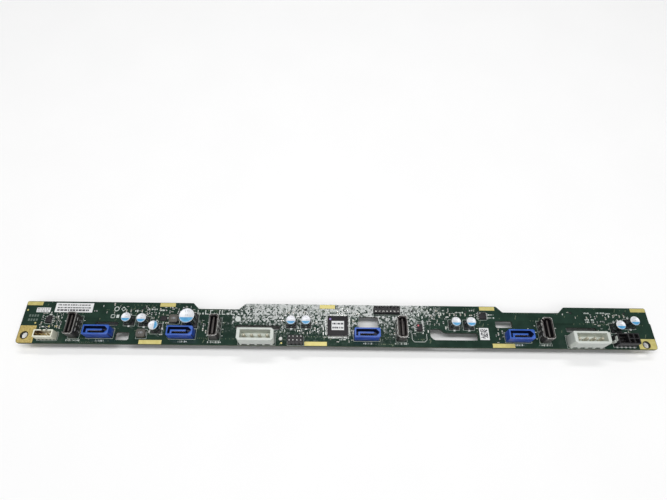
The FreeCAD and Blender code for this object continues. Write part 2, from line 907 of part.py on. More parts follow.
def save_chips():
    save("main_chip", place(chip_body(main_chip_size, main_chip_size, main_chip_top), main_chip_place))
    save("main_chip_leads", place(main_chip_leads(), main_chip_place))
    leads = []
    for index, spot in enumerate(small_chip_places):
        chip_width = small_chip_widths[index]
        body = chip_body(chip_width, small_chip_length, small_chip_top)
        save("small_chip_" + str(index + 1), place(body, spot))
        leads.append(place(small_chip_leads(chip_width), spot))
    save("small_chip_leads", leads)
    save("converter_chip", place(centred_block(0, 0, 0, *converter_size), converter_place))
    save_repeats("inductor", inductor(), inductor_places)
    save("inductor_terminals", [place(inductor_terminals(), spot) for spot in inductor_places])
    save("chip_resistors", chip_parts(resistor_places))
    save("chip_capacitors", chip_capacitors())


def save_labels():
    save("address_label", label(address_label_size, address_label_place))
    save("strip_label", label(strip_label_size, strip_label_place))
    save("code_label", label(code_label_size, code_label_place))
    save("chip_label", label(chip_label_size, main_chip_place, main_chip_top))


os.makedirs("parts", exist_ok=True)
save_board()
save_receptacles()
save_headers()
save_capacitors()
save_chips()
save_labels()
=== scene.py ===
import json
import random
from itertools import product
from math import copysign, cos, pi, radians, sin

import bmesh
import bpy
from mathutils import Matrix, Vector
from mathutils.bvhtree import BVHTree


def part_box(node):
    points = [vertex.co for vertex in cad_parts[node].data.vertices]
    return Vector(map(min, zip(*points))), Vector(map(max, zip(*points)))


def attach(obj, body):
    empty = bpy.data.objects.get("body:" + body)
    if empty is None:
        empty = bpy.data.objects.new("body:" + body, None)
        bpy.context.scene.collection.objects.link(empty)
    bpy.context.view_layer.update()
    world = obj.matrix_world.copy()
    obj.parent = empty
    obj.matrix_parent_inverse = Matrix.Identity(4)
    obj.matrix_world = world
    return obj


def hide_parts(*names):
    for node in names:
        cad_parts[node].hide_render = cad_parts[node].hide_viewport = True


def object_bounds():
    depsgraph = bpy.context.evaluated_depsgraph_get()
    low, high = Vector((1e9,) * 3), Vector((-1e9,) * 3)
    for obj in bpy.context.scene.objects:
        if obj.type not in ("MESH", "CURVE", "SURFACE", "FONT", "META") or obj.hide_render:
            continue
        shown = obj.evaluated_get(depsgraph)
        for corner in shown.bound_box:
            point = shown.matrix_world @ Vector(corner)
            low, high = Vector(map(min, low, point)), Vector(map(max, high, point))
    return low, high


# The looks of a server drive backplane: a long green circuit board with its
# connectors, capacitors, chips, labels and solder work.

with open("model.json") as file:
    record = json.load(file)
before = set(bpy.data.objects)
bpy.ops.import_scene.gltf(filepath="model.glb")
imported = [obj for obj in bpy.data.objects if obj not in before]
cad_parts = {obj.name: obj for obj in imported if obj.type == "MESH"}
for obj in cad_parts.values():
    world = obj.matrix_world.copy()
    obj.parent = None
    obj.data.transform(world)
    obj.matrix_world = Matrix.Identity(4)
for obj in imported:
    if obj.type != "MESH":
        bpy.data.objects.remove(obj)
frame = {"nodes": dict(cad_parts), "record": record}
cad_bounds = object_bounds()

MM = 0.001
UP = Vector((0, 0, 1))
rng = random.Random(20)

# Camera: it looks down at a point behind the board's middle
AIM_FROM_MIDDLE = -4.65 * MM
AIM_BEHIND_BOARD = 42.9 * MM
CAMERA_DISTANCE = 352.2 * MM
CAMERA_HEADING = 1.94
CAMERA_DEPRESSION = 61.98
CAMERA_ROLL = 2.51
CAMERA_LENS = 25.907

# Half the side of the floor
FLOOR_REACH = 3.0

WORLD_STRENGTH = 0.22
# Soft boxes: name, place from the middle of the part, size, power, and whether it leans at the part
LAMPS = [
    ("key", (0.0, -0.04, 1.5), (2.2, 0.3), 17.8, False),
    ("front", (0.0, -1.0, 1.45), (2.4, 0.5), 3.9, True),
    ("strip", (0.012, 0.462, 1.1), (0.576, 0.09), 2.45, True),
]

# A board wall that faces another one within this reach belongs to an opening or a hole, and is painted dark
# as shade
OPENING_REACH = 60 * MM

# What counts as the inside of a hollow part, which takes a painted look of its own for the light and shade
# there
DEEP_INSET = 0.3 * MM
DEEP_BELOW_RIM = 1.0 * MM

# The mask: facets to a metre and how far they lean, the grain of its clouds, and its gloss
MASK_FACETS = 920
MASK_TILT = 0.046
MASK_CLOUDS = 160
MASK_ROUGHNESS = 0.09

# Traces and vias, on both faces
TRACE_BUNDLES = 150
TRACE_PITCH = 0.55 * MM
TRACE_WIDTH = 0.2 * MM
VIA_ROWS = 70
VIA_RADIUS = 0.32 * MM
VIA_HOLE = 0.15 * MM

# Fine contacts in each of a cable port's two rows
PORT_CONTACTS = 21

# How far fine parts keep from others and from the board's edges
PART_GAP = 0.25 * MM
EDGE_GAP = 0.4 * MM

# Where fine chip parts are scattered, as shares of the board's length and width, and how many
CIRCUIT_REGIONS = [
    (0.03, 0.062, 0.35, 0.75, 26), (0.19, 0.27, 0.35, 0.9, 46), (0.275, 0.3, 0.3, 0.7, 6),
    (0.4, 0.47, 0.3, 0.9, 20), (0.475, 0.54, 0.1, 0.9, 18), (0.58, 0.66, 0.3, 0.9, 16),
    (0.655, 0.72, 0.4, 0.9, 20), (0.735, 0.8, 0.1, 0.5, 8), (0.905, 0.965, 0.2, 0.85, 26),
    (0.05, 0.18, 0.7, 0.95, 8), (0.8, 0.9, 0.4, 0.9, 6),
]

# Rows of small strokes in the print: millimetres from the left and front edges, and how many
TICK_ROWS = [
    (383.6, 20.6, 3), (383.6, 19.0, 3), (387.4, 20.6, 2), (387.4, 19.0, 2), (66, 12.3, 5),
    (76, 23.3, 4), (86, 24.6, 6), (93, 24.0, 5), (317, 23.4, 5), (317, 21.2, 5), (384, 25.4, 4),
    (394, 25.6, 6), (399, 25.2, 4), (272.5, 24.6, 5), (283, 24.2, 5), (296, 24.8, 5),
    (215, 4.6, 4), (231, 21.8, 4), (255, 4.4, 5), (30, 15.6, 3), (176.5, 24.4, 5), (190, 23.9, 5),
]

# The corners of a square about its middle
SQUARE = ((-1, -1), (1, -1), (1, 1), (-1, 1))

# How deep the fine relief of a finish is
RELIEF_DEPTH = 0.05 * MM


# ---- places from the frame
def joined_mesh(node):
    """The CAD node's mesh with its split corners joined."""
    bm = bmesh.new()
    bm.from_mesh(frame["nodes"][node].data)
    bmesh.ops.remove_doubles(bm, verts=bm.verts, dist=0.001 * MM)
    return bm


def cad_mesh(node):
    """The CAD node's mesh with its flat faces whole."""
    bm = joined_mesh(node)
    bmesh.ops.dissolve_limit(bm, angle_limit=radians(1), verts=bm.verts, edges=bm.edges)
    return bm


def islands(node):
    """The box of each separate solid of a node, as (low corner, high corner), left to right."""
    bm = joined_mesh(node)
    seen = set()
    boxes = []
    for start in bm.verts:
        if start in seen:
            continue
        seen.add(start)
        found = [start]
        for vert in found:
            fresh = [v for v in (e.other_vert(vert) for e in vert.link_edges) if v not in seen]
            seen.update(fresh)
            found += fresh
        boxes.append([Vector([end(v.co[i] for v in found) for i in range(3)]) for end in (min, max)])
    bm.free()
    return sorted(boxes, key=lambda box: (round(box[0].x, 5), round(box[0].y, 5)))


def middle(box):
    return (box[0] + box[1]) / 2


def solids(node):
    """The low corner, high corner and centre of each separate solid of a node."""
    return [(*box, middle(box)) for box in islands(node)]


board_low, board_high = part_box("circuit_board")
board_bm = cad_mesh("circuit_board")
board_tree = BVHTree.FromBMesh(board_bm)
TOP = board_high.z
UNDER = board_low.z
BOARD_MIDDLE_Z = (TOP + UNDER) / 2
LAYER = 0.03 * MM
COPPER_FACES = (TOP + 0.012 * MM, UNDER - 0.012 * MM)
BOARD_MIDDLE_X = (board_low.x + board_high.x) / 2
COPPER_X = (board_low.x + 2 * MM, board_high.x - 2 * MM)
COPPER_Y = (board_low.y + MM, board_high.y - MM)


def spot(from_left, from_front):
    """A place on the board, from millimetres off its left and front edges."""
    return board_low.x + from_left * MM, board_low.y + from_front * MM


def on_board(x, y):
    """True where the board's upper face lies under the point, and not a hole."""
    hit = board_tree.ray_cast(Vector((x, y, TOP + MM)), -UP)
    return hit[0] is not None and abs(hit[0].z - TOP) < 0.01 * MM


# ---- materials
def new_material(name):
    mat = bpy.data.materials.new(name)
    mat.use_nodes = True
    return mat, mat.node_tree, mat.node_tree.nodes["Principled BSDF"]


def feed(tree, node, inputs):
    """Give a node's inputs plain values, or join them to other nodes' outputs."""
    for socket, value in inputs.items():
        if isinstance(value, bpy.types.NodeSocket):
            tree.links.new(value, node.inputs[socket])
        else:
            node.inputs[socket].default_value = value


def add_node(tree, kind, inputs, **settings):
    node = tree.nodes.new("ShaderNode" + kind)
    for key, value in settings.items():
        setattr(node, key, value)
    feed(tree, node, inputs)
    return node


def object_place(tree):
    return add_node(tree, "TexCoord", {}).outputs["Object"]


def noise(tree, scale, detail=3.0):
    texture = add_node(tree, "TexNoise", {"Scale": scale, "Detail": detail, "Vector": object_place(tree)})
    return texture.outputs["Fac"]


def blend_colours(tree, factor, low, high, start=0.35, end=0.65):
    """A colour ramp from low to high, driven by a value."""
    ramp = add_node(tree, "ValToRGB", {"Fac": factor})
    for stop, place, colour in zip(ramp.color_ramp.elements, (start, end), (low, high)):
        stop.position = place
        stop.color = (*colour, 1)
    return ramp.outputs["Color"]


def relief(tree, height, strength):
    bump = add_node(tree, "Bump", {"Strength": strength, "Distance": RELIEF_DEPTH, "Height": height})
    return bump.outputs["Normal"]


def surface(name, low, high, grain, roughness, bump=0.05, metallic=0.0, bump_grain=None,
            rough_change=0.08, specular=0.5):
    """A finish with a mottled colour, uneven gloss and a fine relief."""
    mat, tree, bsdf = new_material(name)
    mottle = noise(tree, grain)
    gloss = add_node(tree, "MapRange", {
        "Value": mottle, "To Min": max(roughness - rough_change, 0.02), "To Max": roughness + rough_change})
    feed(tree, bsdf, {
        "Base Color": blend_colours(tree, mottle, low, high),
        "Roughness": gloss.outputs["Result"],
        "Normal": relief(tree, noise(tree, bump_grain or grain * 3), bump),
        "Metallic": metallic,
        "Specular IOR Level": specular,
    })
    return mat


def solder_mask(name, low, high):
    """Green mask over copper: cloudy colour, and small facets that each catch the light or not."""
    mat, tree, bsdf = new_material(name)
    coords = add_node(tree, "TexCoord", {})
    cells = add_node(tree, "TexVoronoi", {"Scale": MASK_FACETS, "Vector": coords.outputs["Object"]})
    lean = add_node(tree, "VectorMath", {0: cells.outputs["Color"], 1: (0.5, 0.5, 0.5)}, operation="SUBTRACT")
    tilted = add_node(tree, "VectorMath", {
        0: lean.outputs["Vector"], 1: (MASK_TILT, MASK_TILT, 0), 2: coords.outputs["Normal"],
    }, operation="MULTIPLY_ADD")
    facet = add_node(tree, "VectorMath", {0: tilted.outputs["Vector"]}, operation="NORMALIZE")
    feed(tree, bsdf, {
        "Base Color": blend_colours(tree, noise(tree, MASK_CLOUDS, 4), low, high),
        "Normal": facet.outputs["Vector"],
        "Roughness": MASK_ROUGHNESS,
    })
    return mat


def laminate_edge(name, low, high):
    """The routed edge of the glass laminate, with its plies."""
    mat, tree, bsdf = new_material(name)
    plies = add_node(tree, "TexWave", {
        "Scale": 900, "Distortion": 1.5, "Detail Scale": 3.0, "Vector": object_place(tree),
    }, bands_direction="Z").outputs["Fac"]
    feed(tree, bsdf, {
        "Base Color": blend_colours(tree, plies, low, high, 0.2, 0.8),
        "Normal": relief(tree, plies, 0.3),
        "Roughness": 0.7,
    })
    return mat


def stained_cavity(name, dark_end, light_end, dark_to, light_from):
    """A cavity painted darker than the header's outside as shade, and darker and browner still at its left
    end, up to the given shares of the header's length.
    """
    mat, tree, bsdf = new_material(name)
    low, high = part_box("signal_header")
    place = add_node(tree, "SeparateXYZ", {"Vector": object_place(tree)})
    along = add_node(tree, "MapRange", {
        "Value": place.outputs["X"],
        "From Min": low.x + dark_to * (high.x - low.x),
        "From Max": low.x + light_from * (high.x - low.x),
    })
    patchy = add_node(tree, "Math", {0: noise(tree, 700), 1: 0.5, 2: along.outputs["Result"]},
                      operation="MULTIPLY_ADD")
    feed(tree, bsdf, {
        "Base Color": blend_colours(tree, patchy.outputs["Value"], dark_end, light_end, 0.35, 0.95),
        "Roughness": 0.55,
    })
    return mat


# key: name, darker colour, lighter colour, grain to a metre and roughness; then, where they are not
# the usual ones: relief, metal, the relief's grain, the change in roughness and the specular level
FINISHES = {
    "silk": ("silkscreen", (0.5, 0.54, 0.51), (0.64, 0.68, 0.65), 900, 0.6, 0.1),
    "gold": ("gold_plating", (0.51, 0.44, 0.14), (0.58, 0.51, 0.19), 350, 0.42, 0.12, 0.3, 900, 0.12),
    "gold_worn": ("worn_gold", (0.36, 0.27, 0.075), (0.56, 0.44, 0.15), 900, 0.45, 0.25, 0.3, 900, 0.12),
    "contact": ("contact_gold", (0.55, 0.4, 0.16), (0.72, 0.56, 0.26), 900, 0.3, 0.05, 0.9),
    "tin": ("tinned", (0.56, 0.57, 0.55), (0.7, 0.71, 0.69), 900, 0.3, 0.2, 0.35),
    "pin_brass": ("pin_brass", (0.46, 0.43, 0.33), (0.62, 0.59, 0.49), 900, 0.35, 0.2, 0.3),
    "solder": ("solder", (0.5, 0.51, 0.51), (0.68, 0.69, 0.68), 700, 0.32, 0.4, 0.85),
    "bare_pad": ("bare_pad", (0.075, 0.11, 0.09), (0.13, 0.17, 0.145), 900, 0.4, 0.2),
    "via": ("via_ring", (0.07, 0.11, 0.065), (0.16, 0.19, 0.11), 700, 0.35, 0.05, 0.3),
    "blue": ("blue_plastic", (0.004, 0.052, 0.4), (0.006, 0.068, 0.48), 300, 0.36, 0.05, 0, 4000),
    # The sockets' upward faces: a lighter copy of the blue, as a painted highlight
    "blue_rim": ("blue_rim", (0.012, 0.082, 0.4), (0.018, 0.1, 0.48), 300, 0.36, 0.05, 0, 4000),
    # The sockets' cavities: a near black copy of the blue, as painted shade
    "blue_deep": ("blue_cavity_shade", (0.004, 0.01, 0.06), (0.007, 0.016, 0.085), 300, 0.5, 0.05, 0, 4000),
    "white": ("white_plastic", (0.55, 0.59, 0.55), (0.61, 0.64, 0.6), 260, 0.48, 0.05, 0, 4000),
    # The shrouds' cavities: a lighter copy of the white, as painted light against their shade
    "white_inside_lightened": ("white_cavity_painted_light", (0.56, 0.6, 0.54), (0.66, 0.69, 0.63), 260, 0.55, 0.05, 0, 4000),
    "beige": ("beige_plastic", (0.76, 0.76, 0.62), (0.83, 0.83, 0.7), 260, 0.5, 0.05, 0, 4000),
    "black": ("black_plastic", (0.009, 0.008, 0.01), (0.017, 0.016, 0.018), 350, 0.45,
              0.05, 0, 4000, 0.08, 0.3),
    # The linings' upward faces: a lighter copy of the black, as a painted highlight
    "lining_top_highlight": ("lining_top_highlight", (0.035, 0.028, 0.026), (0.062, 0.052, 0.046), 700, 0.5, 0.05, 0, 4000),
    "chip": ("chip_plastic", (0.011, 0.01, 0.012), (0.019, 0.017, 0.02), 500, 0.6, 0.25, 0, 1500, 0.08, 0.3),
    "shell": ("shell_side", (0.04, 0.036, 0.035), (0.085, 0.08, 0.076), 500, 0.4, 0.2, 0.5),
    # The shells' upward faces: a pale copy of the shell metal, as a painted highlight; the socket contacts
    # use it too
    "pale_metal_highlight": ("pale_metal_highlight", (0.22, 0.22, 0.21), (0.44, 0.44, 0.42), 800, 0.3, 0.1, 0.6),
    # The can's sides: a dark copy of its metal, as painted shade; its lids: a pale copy, as a painted
    # highlight
    "can": ("can_side_shade", (0.16, 0.17, 0.18), (0.24, 0.25, 0.27), 500, 0.22, 0.06, 0.95),
    "can_top_highlight": ("can_top_highlight", (0.66, 0.68, 0.72), (0.76, 0.77, 0.8), 500, 0.4, 0.1, 0.15),
    "can_blue": ("can_blue", (0.055, 0.27, 0.52), (0.075, 0.36, 0.64), 500, 0.4),
    "can_print": ("can_print", (0.36, 0.38, 0.42), (0.44, 0.46, 0.5), 900, 0.5),
    "ferrite": ("ferrite", (0.06, 0.055, 0.046), (0.1, 0.093, 0.08), 1200, 0.6, 0.5),
    "resistor": ("resistor_glaze", (0.018, 0.018, 0.022), (0.03, 0.03, 0.036), 900, 0.3),
    "ceramic": ("ceramic", (0.26, 0.23, 0.17), (0.38, 0.34, 0.27), 900, 0.5),
    "pale_part": ("pale_part", (0.6, 0.62, 0.58), (0.74, 0.75, 0.72), 900, 0.5),
    "paper": ("label_paper", (0.7, 0.71, 0.71), (0.78, 0.79, 0.79), 700, 0.75, 0.2),
    # Dark brown rings at the mounting holes' edges, as painted shade
    "hole_edge_shade": ("hole_edge_shade", (0.035, 0.022, 0.012), (0.08, 0.055, 0.03), 900, 0.5, 0.3),
    "ink": ("label_ink", (0.035, 0.035, 0.045), (0.07, 0.07, 0.08), 900, 0.6),
    "red": ("red_dot", (0.5, 0.08, 0.1), (0.62, 0.14, 0.15), 900, 0.5),
    "violet": ("violet_dot", (0.2, 0.14, 0.42), (0.28, 0.2, 0.52), 900, 0.5),
    # Near black for the insides of the port shells and the via holes, as painted shade
    "shade_black": ("painted_shade_black", (0.004, 0.004, 0.005), (0.009, 0.009, 0.01), 700, 0.6),
}


def make_materials():
    return {
        "mask": solder_mask("mask", (0.008, 0.026, 0.017), (0.013, 0.038, 0.025)),
        "trace": solder_mask("masked_copper", (0.012, 0.037, 0.023), (0.017, 0.047, 0.03)),
        "edge": laminate_edge("laminate_edge", (0.045, 0.055, 0.035), (0.13, 0.13, 0.085)),
        # The walls of openings and holes: a darker copy of the laminate edge, as painted shade
        "shaded_opening_wall": laminate_edge("shaded_opening_wall", (0.01, 0.013, 0.009), (0.034, 0.036, 0.024)),
        "beige_inside_shade": stained_cavity("beige_cavity_shade", (0.13, 0.08, 0.04), (0.62, 0.6, 0.48), 0.22, 0.55),
        **{key: surface(*row) for key, row in FINISHES.items()},
    }


# ---- mesh blocks
def painted(faces, index):
    for face in faces:
        face.material_index = index
    return faces


def skin(bm, loops):
    """The side faces along a row of closed loops with as many points."""
    count = len(loops[0])
    onward = [(i, (i + 1) % count) for i in range(count)]
    pairs = product(zip(loops, loops[1:]), onward)
    return [bm.faces.new((near[i], near[j], far[j], far[i])) for (near, far), (i, j) in pairs]


def soft_box(bm, low, high, edge, index=0):
    """A box whose edges and corners are bevelled."""
    low, high = Vector(low), Vector(high)
    edge = min(edge, 0.45 * min(high - low))
    verts = {}
    for key in product((0, 1), repeat=3):
        corner = Vector([high[i] if key[i] else low[i] for i in range(3)])
        for axis in range(3):
            inward = [0 if i == axis else (-edge if key[i] else edge) for i in range(3)]
            verts[key, axis] = bm.verts.new([corner[i] + inward[i] for i in range(3)])
    square = ((0, 0), (1, 0), (1, 1), (0, 1))
    faces = []
    for axis in range(3):
        first, second = (i for i in range(3) if i != axis)

        def corner_key(side, u, v):
            key = [0, 0, 0]
            key[axis], key[first], key[second] = side, u, v
            return tuple(key)

        for side in (0, 1):
            faces.append(bm.faces.new([verts[corner_key(side, u, v), axis] for u, v in square]))
        for u, v in square:
            near, far = corner_key(0, u, v), corner_key(1, u, v)
            loop = ((near, first), (far, first), (far, second), (near, second))
            faces.append(bm.faces.new([verts[place] for place in loop]))
    for key in product((0, 1), repeat=3):
        faces.append(bm.faces.new([verts[key, axis] for axis in range(3)]))
    return painted(faces, index)


def block(bm, x, y, half_x, half_y, z0, z1, edge, index=0):
    """A bevelled box centred on a point of the board."""
    return soft_box(bm, (x - half_x, y - half_y, z0), (x + half_x, y + half_y, z1), edge, index)


def away_from_board(z, depth):
    """The height that lies the given depth under a surface at z, towards the board's middle."""
    return z - copysign(depth, z - BOARD_MIDDLE_Z)


def flat(bm, points, z, index=0):
    """A thin slab whose outer face is at height z, away from the board's middle."""
    near = [bm.verts.new((x, y, away_from_board(z, LAYER))) for x, y in points]
    far = [bm.verts.new((x, y, z)) for x, y in points]
    return painted([bm.faces.new(near[::-1]), bm.faces.new(far)] + skin(bm, [near, far]), index)


def flat_box(bm, x0, y0, x1, y1, z, index=0):
    return flat(bm, [(x0, y0), (x1, y0), (x1, y1), (x0, y1)], z, index)


def flat_line(bm, a, b, width, z):
    """A flat strip from a to b."""
    run = Vector((b[0] - a[0], b[1] - a[1], 0))
    side = run.cross(UP).normalized() * width / 2
    cap = run.normalized() * width / 2
    a, b = Vector((*a, 0)) - cap, Vector((*b, 0)) + cap
    return flat(bm, [(p.x, p.y) for p in (a - side, b - side, b + side, a + side)], z)


def ring_points(x, y, radius, count):
    steps = [2 * pi * i / count for i in range(count)]
    return [(x + radius * cos(t), y + radius * sin(t)) for t in steps]


def ring_verts(bm, x, y, radius, z, count):
    return [bm.verts.new((u, v, z)) for u, v in ring_points(x, y, radius, count)]


def flat_ring(bm, x, y, outer, inner, z, count=16, index=0):
    """A thin ring, or a disc where inner is 0."""
    if inner <= 0:
        return flat(bm, ring_points(x, y, outer, count), z, index)
    base = away_from_board(z, LAYER)
    section = ((outer, base), (outer, z), (inner, z), (inner, base))
    loops = [ring_verts(bm, x, y, radius, height, count) for radius, height in section]
    return painted(skin(bm, loops + loops[:1]), index)


def lathe(bm, x, y, profile, count=32):
    """A closed turned form about an upright axis, from (radius, z) pairs, bottom first."""
    rings = [ring_verts(bm, x, y, radius, z, count) for radius, z in profile]
    return skin(bm, rings) + [bm.faces.new(rings[0][::-1]), bm.faces.new(rings[-1])]


def extrude_profile(bm, profile, place, out, width):
    """A bent strip: a closed profile of (out, up) pairs, swept sideways by width."""
    out = Vector((out[0], out[1], 0)).normalized()
    side = UP.cross(out)
    near, far = (
        [bm.verts.new(Vector(place) + out * u + UP * v + side * width * half) for u, v in profile]
        for half in (-0.5, 0.5))
    bm.faces.new(near)
    bm.faces.new(far[::-1])
    for i in range(len(profile)):
        j = (i + 1) % len(profile)
        bm.faces.new((near[i], far[i], far[j], near[j]))


def add_object(name, data):
    item = bpy.data.objects.new(name, data)
    bpy.context.scene.collection.objects.link(item)
    return item


def digits(bm, text, height, x, y, z, index=0, turn=0.0):
    """Plain numbers as flat faces, centred on a point."""
    curve = bpy.data.curves.new("digits", "FONT")
    curve.body = text
    curve.size = height / 0.7
    curve.extrude = LAYER / 2
    curve.align_x = "CENTER"
    curve.align_y = "CENTER"
    holder = add_object("digits", curve)
    bpy.context.view_layer.update()
    mesh = bpy.data.meshes.new_from_object(holder.evaluated_get(bpy.context.evaluated_depsgraph_get()))
    place = Matrix.Translation((x, y, away_from_board(z, LAYER / 2)))
    mesh.transform(place @ Matrix.Rotation(turn, 4, "Z"))
    first = len(bm.faces)
    bm.from_mesh(mesh)
    bm.faces.ensure_lookup_table()
    painted(bm.faces[first:], index)
    bpy.data.objects.remove(holder)
    bpy.data.curves.remove(curve)
    bpy.data.meshes.remove(mesh)


# ---- pieces
def add_piece(name, bm, looks, nodes=(), smooth=35):
    """Turn built faces into a piece that rides on the board, with its materials in order."""
    bmesh.ops.recalc_face_normals(bm, faces=bm.faces)
    mesh = bpy.data.meshes.new(name)
    bm.to_mesh(mesh)
    bm.free()
    for look in looks:
        mesh.materials.append(M[look])
    if smooth:
        mesh.polygons.foreach_set("use_smooth", [True] * len(mesh.polygons))
        mesh.set_sharp_from_angle(angle=radians(smooth))
    piece = add_object(name, mesh)
    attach(piece, "root")
    if nodes:
        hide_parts(*nodes)
    return piece


def bevel_sharp(bm, width, segments=2, angle=30):
    """Round the sharp edges of a closed mesh."""
    limit = radians(angle)
    edges = [e for e in bm.edges if len(e.link_faces) == 2 and e.calc_face_angle(0) > limit]
    bmesh.ops.bevel(
        bm, geom=edges, offset=width, segments=segments, profile=0.6, affect="EDGES", clamp_overlap=True)


def softened(node, name, look, slot, width=0.12, segments=2, rim=None, deep=None):
    """The CAD node with its edges rounded, by a width in millimetres.

    Its upward faces take the rim's look, and what lies inside it below the rim the deep one; the rim looks in
    use are painted highlights, and the deep looks paint the light and shade inside hollows.
    """
    bm = cad_mesh(node)
    bevel_sharp(bm, width * MM, segments)
    bm.normal_update()
    low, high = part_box(node)
    for face in bm.faces:
        place = face.calc_center_median()
        inset = min(place.x - low.x, high.x - place.x, place.y - low.y, high.y - place.y)
        if deep and inset > DEEP_INSET and place.z < high.z - DEEP_BELOW_RIM:
            face.material_index = 2
        elif rim and face.normal.z > 0.6:
            face.material_index = 1
    return add_piece(name, bm, [look, rim or look, deep or look], [node])


def numbered(prefix):
    return sorted(n for n in frame["nodes"] if n.startswith(prefix) and n[len(prefix):].isdigit())


def boxes(prefix):
    return [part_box(node) for node in numbered(prefix)]


def soften_each(prefix, name, *finish, **deeper):
    for number, node in enumerate(numbered(prefix), 1):
        softened(node, name + str(number), *finish, **deeper)


# ---- board
def dress_board():
    """The board with round inner corners, green faces and bare laminate edges; the walls of its openings and
    holes are painted near black as shade.
    """
    bm = cad_mesh("circuit_board")
    corners = []
    for edge in bm.edges:
        a, b = (v.co for v in edge.verts)
        upright = abs(a.x - b.x) + abs(a.y - b.y) < 0.001 * MM
        if upright and edge.calc_face_angle(0) > radians(30):
            corners.append(edge)
    bmesh.ops.bevel(
        bm, geom=corners, offset=0.32 * MM, segments=3, profile=0.5, affect="EDGES", clamp_overlap=True)
    bmesh.ops.recalc_face_normals(bm, faces=bm.faces)
    tree = BVHTree.FromBMesh(bm)
    for face in bm.faces:
        face.material_index = 0
        if abs(face.normal.z) < 0.5:
            start = face.calc_center_median() + face.normal * 0.05 * MM
            facing = tree.ray_cast(start, face.normal, OPENING_REACH)
            # Walls that face another wall lie inside an opening and take the painted shade
            face.material_index = 2 if facing[0] else 1
    add_piece("board", bm, ["mask", "edge", "shaded_opening_wall"], ["circuit_board"])


def dress_pads():
    """Ground and mounting pads with softened edges, the left mounting one worn, and dark rings painted as
    shade at the mounting holes' edges.
    """
    pads = softened("ground_pads", "plated_pads", "gold", "gold_plating", 0.02, 1)
    pads.data.materials[1] = M["gold_worn"]
    worn_x, worn_y = spot(12, 13)
    for face in pads.data.polygons:
        if face.center.x < worn_x and face.center.y < worn_y:
            face.material_index = 1
    bm = bmesh.new()
    pad_middle_z = middle(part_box("ground_pads")).z
    # Dark rings at the holes' edges, as painted shade
    for hole in hole_places():
        flat_ring(bm, hole.x, hole.y, 2.7 * MM, 2.12 * MM, pad_middle_z + 0.03 * MM, 36)
    add_piece("hole_edge_shades", bm, ["hole_edge_shade"])


def dress_under_pads():
    """The mounting pads' other faces, on the underside."""
    bm = bmesh.new()
    z = UNDER - 0.02 * MM
    count = 32
    for low, high, centre in solids("ground_pads"):
        if high.y - low.y < 5 * MM:
            continue
        hole = min(hole_places(), key=lambda p: (p - centre).length)
        outer = [square_point(low, high, hole, 2 * pi * i / count) for i in range(count)]
        rim = [bm.verts.new((x, y, z)) for x, y in outer]
        skin(bm, [rim, ring_verts(bm, hole.x, hole.y, 2.2 * MM, z, count)])
    add_piece("under_pads", bm, ["gold"], smooth=0)


def hole_places():
    return [Vector(m["pos_m"]) for m in frame["record"]["mounts"] if m["kind"] == "bore"]


def square_point(low, high, centre, angle):
    """Where a ray from the centre leaves a rectangle."""
    ray = list(enumerate((cos(angle), sin(angle))))
    reach = min(((high if r > 0 else low)[i] - centre[i]) / r for i, r in ray if abs(r) > 1e-6)
    return [centre[i] + r * reach for i, r in ray]


def clear_run(a, b, margin=0.5 * MM):
    """True where a straight strip from a to b lies on the board, off its edges and holes."""
    steps = max(2, int((Vector(b) - Vector(a)).length / (0.8 * MM)))
    for i in range(steps + 1):
        x, y = (a[k] + (b[k] - a[k]) * i / steps for k in (0, 1))
        if not (on_board(x, y) and on_board(x, y + margin) and on_board(x, y - margin)):
            return False
    return True


def dress_copper():
    """Bundles of masked traces and the vias at their ends, on both faces."""
    bm = bmesh.new()
    vias = []
    for z in COPPER_FACES:
        for bundle in range(TRACE_BUNDLES):
            x, y = rng.uniform(*COPPER_X), rng.uniform(*COPPER_Y)
            lanes = rng.randint(1, 5)
            legs = []
            for leg in range(rng.randint(2, 4)):
                slope = rng.choice((0, 0, 1, -1))
                run = rng.uniform(5, 22) * MM if slope == 0 else rng.uniform(0.8, 3) * MM
                legs.append((run, slope * run))
            for lane in range(lanes):
                a = (x + lane * 0.4 * TRACE_PITCH, y + lane * TRACE_PITCH)
                for run, rise in legs:
                    b = (a[0] + run, a[1] + rise)
                    if b[0] > COPPER_X[1] or not clear_run(a, b):
                        break
                    flat_line(bm, a, b, TRACE_WIDTH, z)
                    a = b
                if a[0] > x + 3 * MM:
                    vias.append((*a, z))
    add_piece("traces", bm, ["trace"], smooth=0)
    bm = bmesh.new()
    for x, y, z in vias + scattered_vias():
        lift = 0.01 * MM if z > 0 else -0.01 * MM
        flat_ring(bm, x, y, VIA_RADIUS, VIA_HOLE, z + lift, 8, 0)
        # Each via's hole is a black disc, as painted shade
        flat_ring(bm, x, y, VIA_HOLE, 0, z + lift, 8, 1)
    add_piece("vias", bm, ["via", "shade_black"], smooth=0)


def scattered_vias():
    """Stitching vias in loose rows."""
    found = []
    for z in COPPER_FACES:
        for row in range(VIA_ROWS):
            x, y = rng.uniform(*COPPER_X), rng.uniform(*COPPER_Y)
            step = rng.choice((1.3, 1.9, 2.5)) * MM
            for i in range(rng.randint(2, 8)):
                via = (x + i * step, y)
                if via[0] < COPPER_X[1] and clear_run(via, (via[0] + 0.5 * MM, via[1])):
                    found.append((*via, z))
    return found


# ---- connectors
def dress_data_headers():
    # Upward faces take a lighter blue as a painted highlight, and the cavities a near black navy as painted
    # shade
    soften_each("data_header_", "data_socket_", "blue", "blue_plastic", 0.16, 3, "blue_rim", "blue_deep")
    softened("data_header_contacts", "data_contacts", "contact", "contact_metal", 0.03, 1)


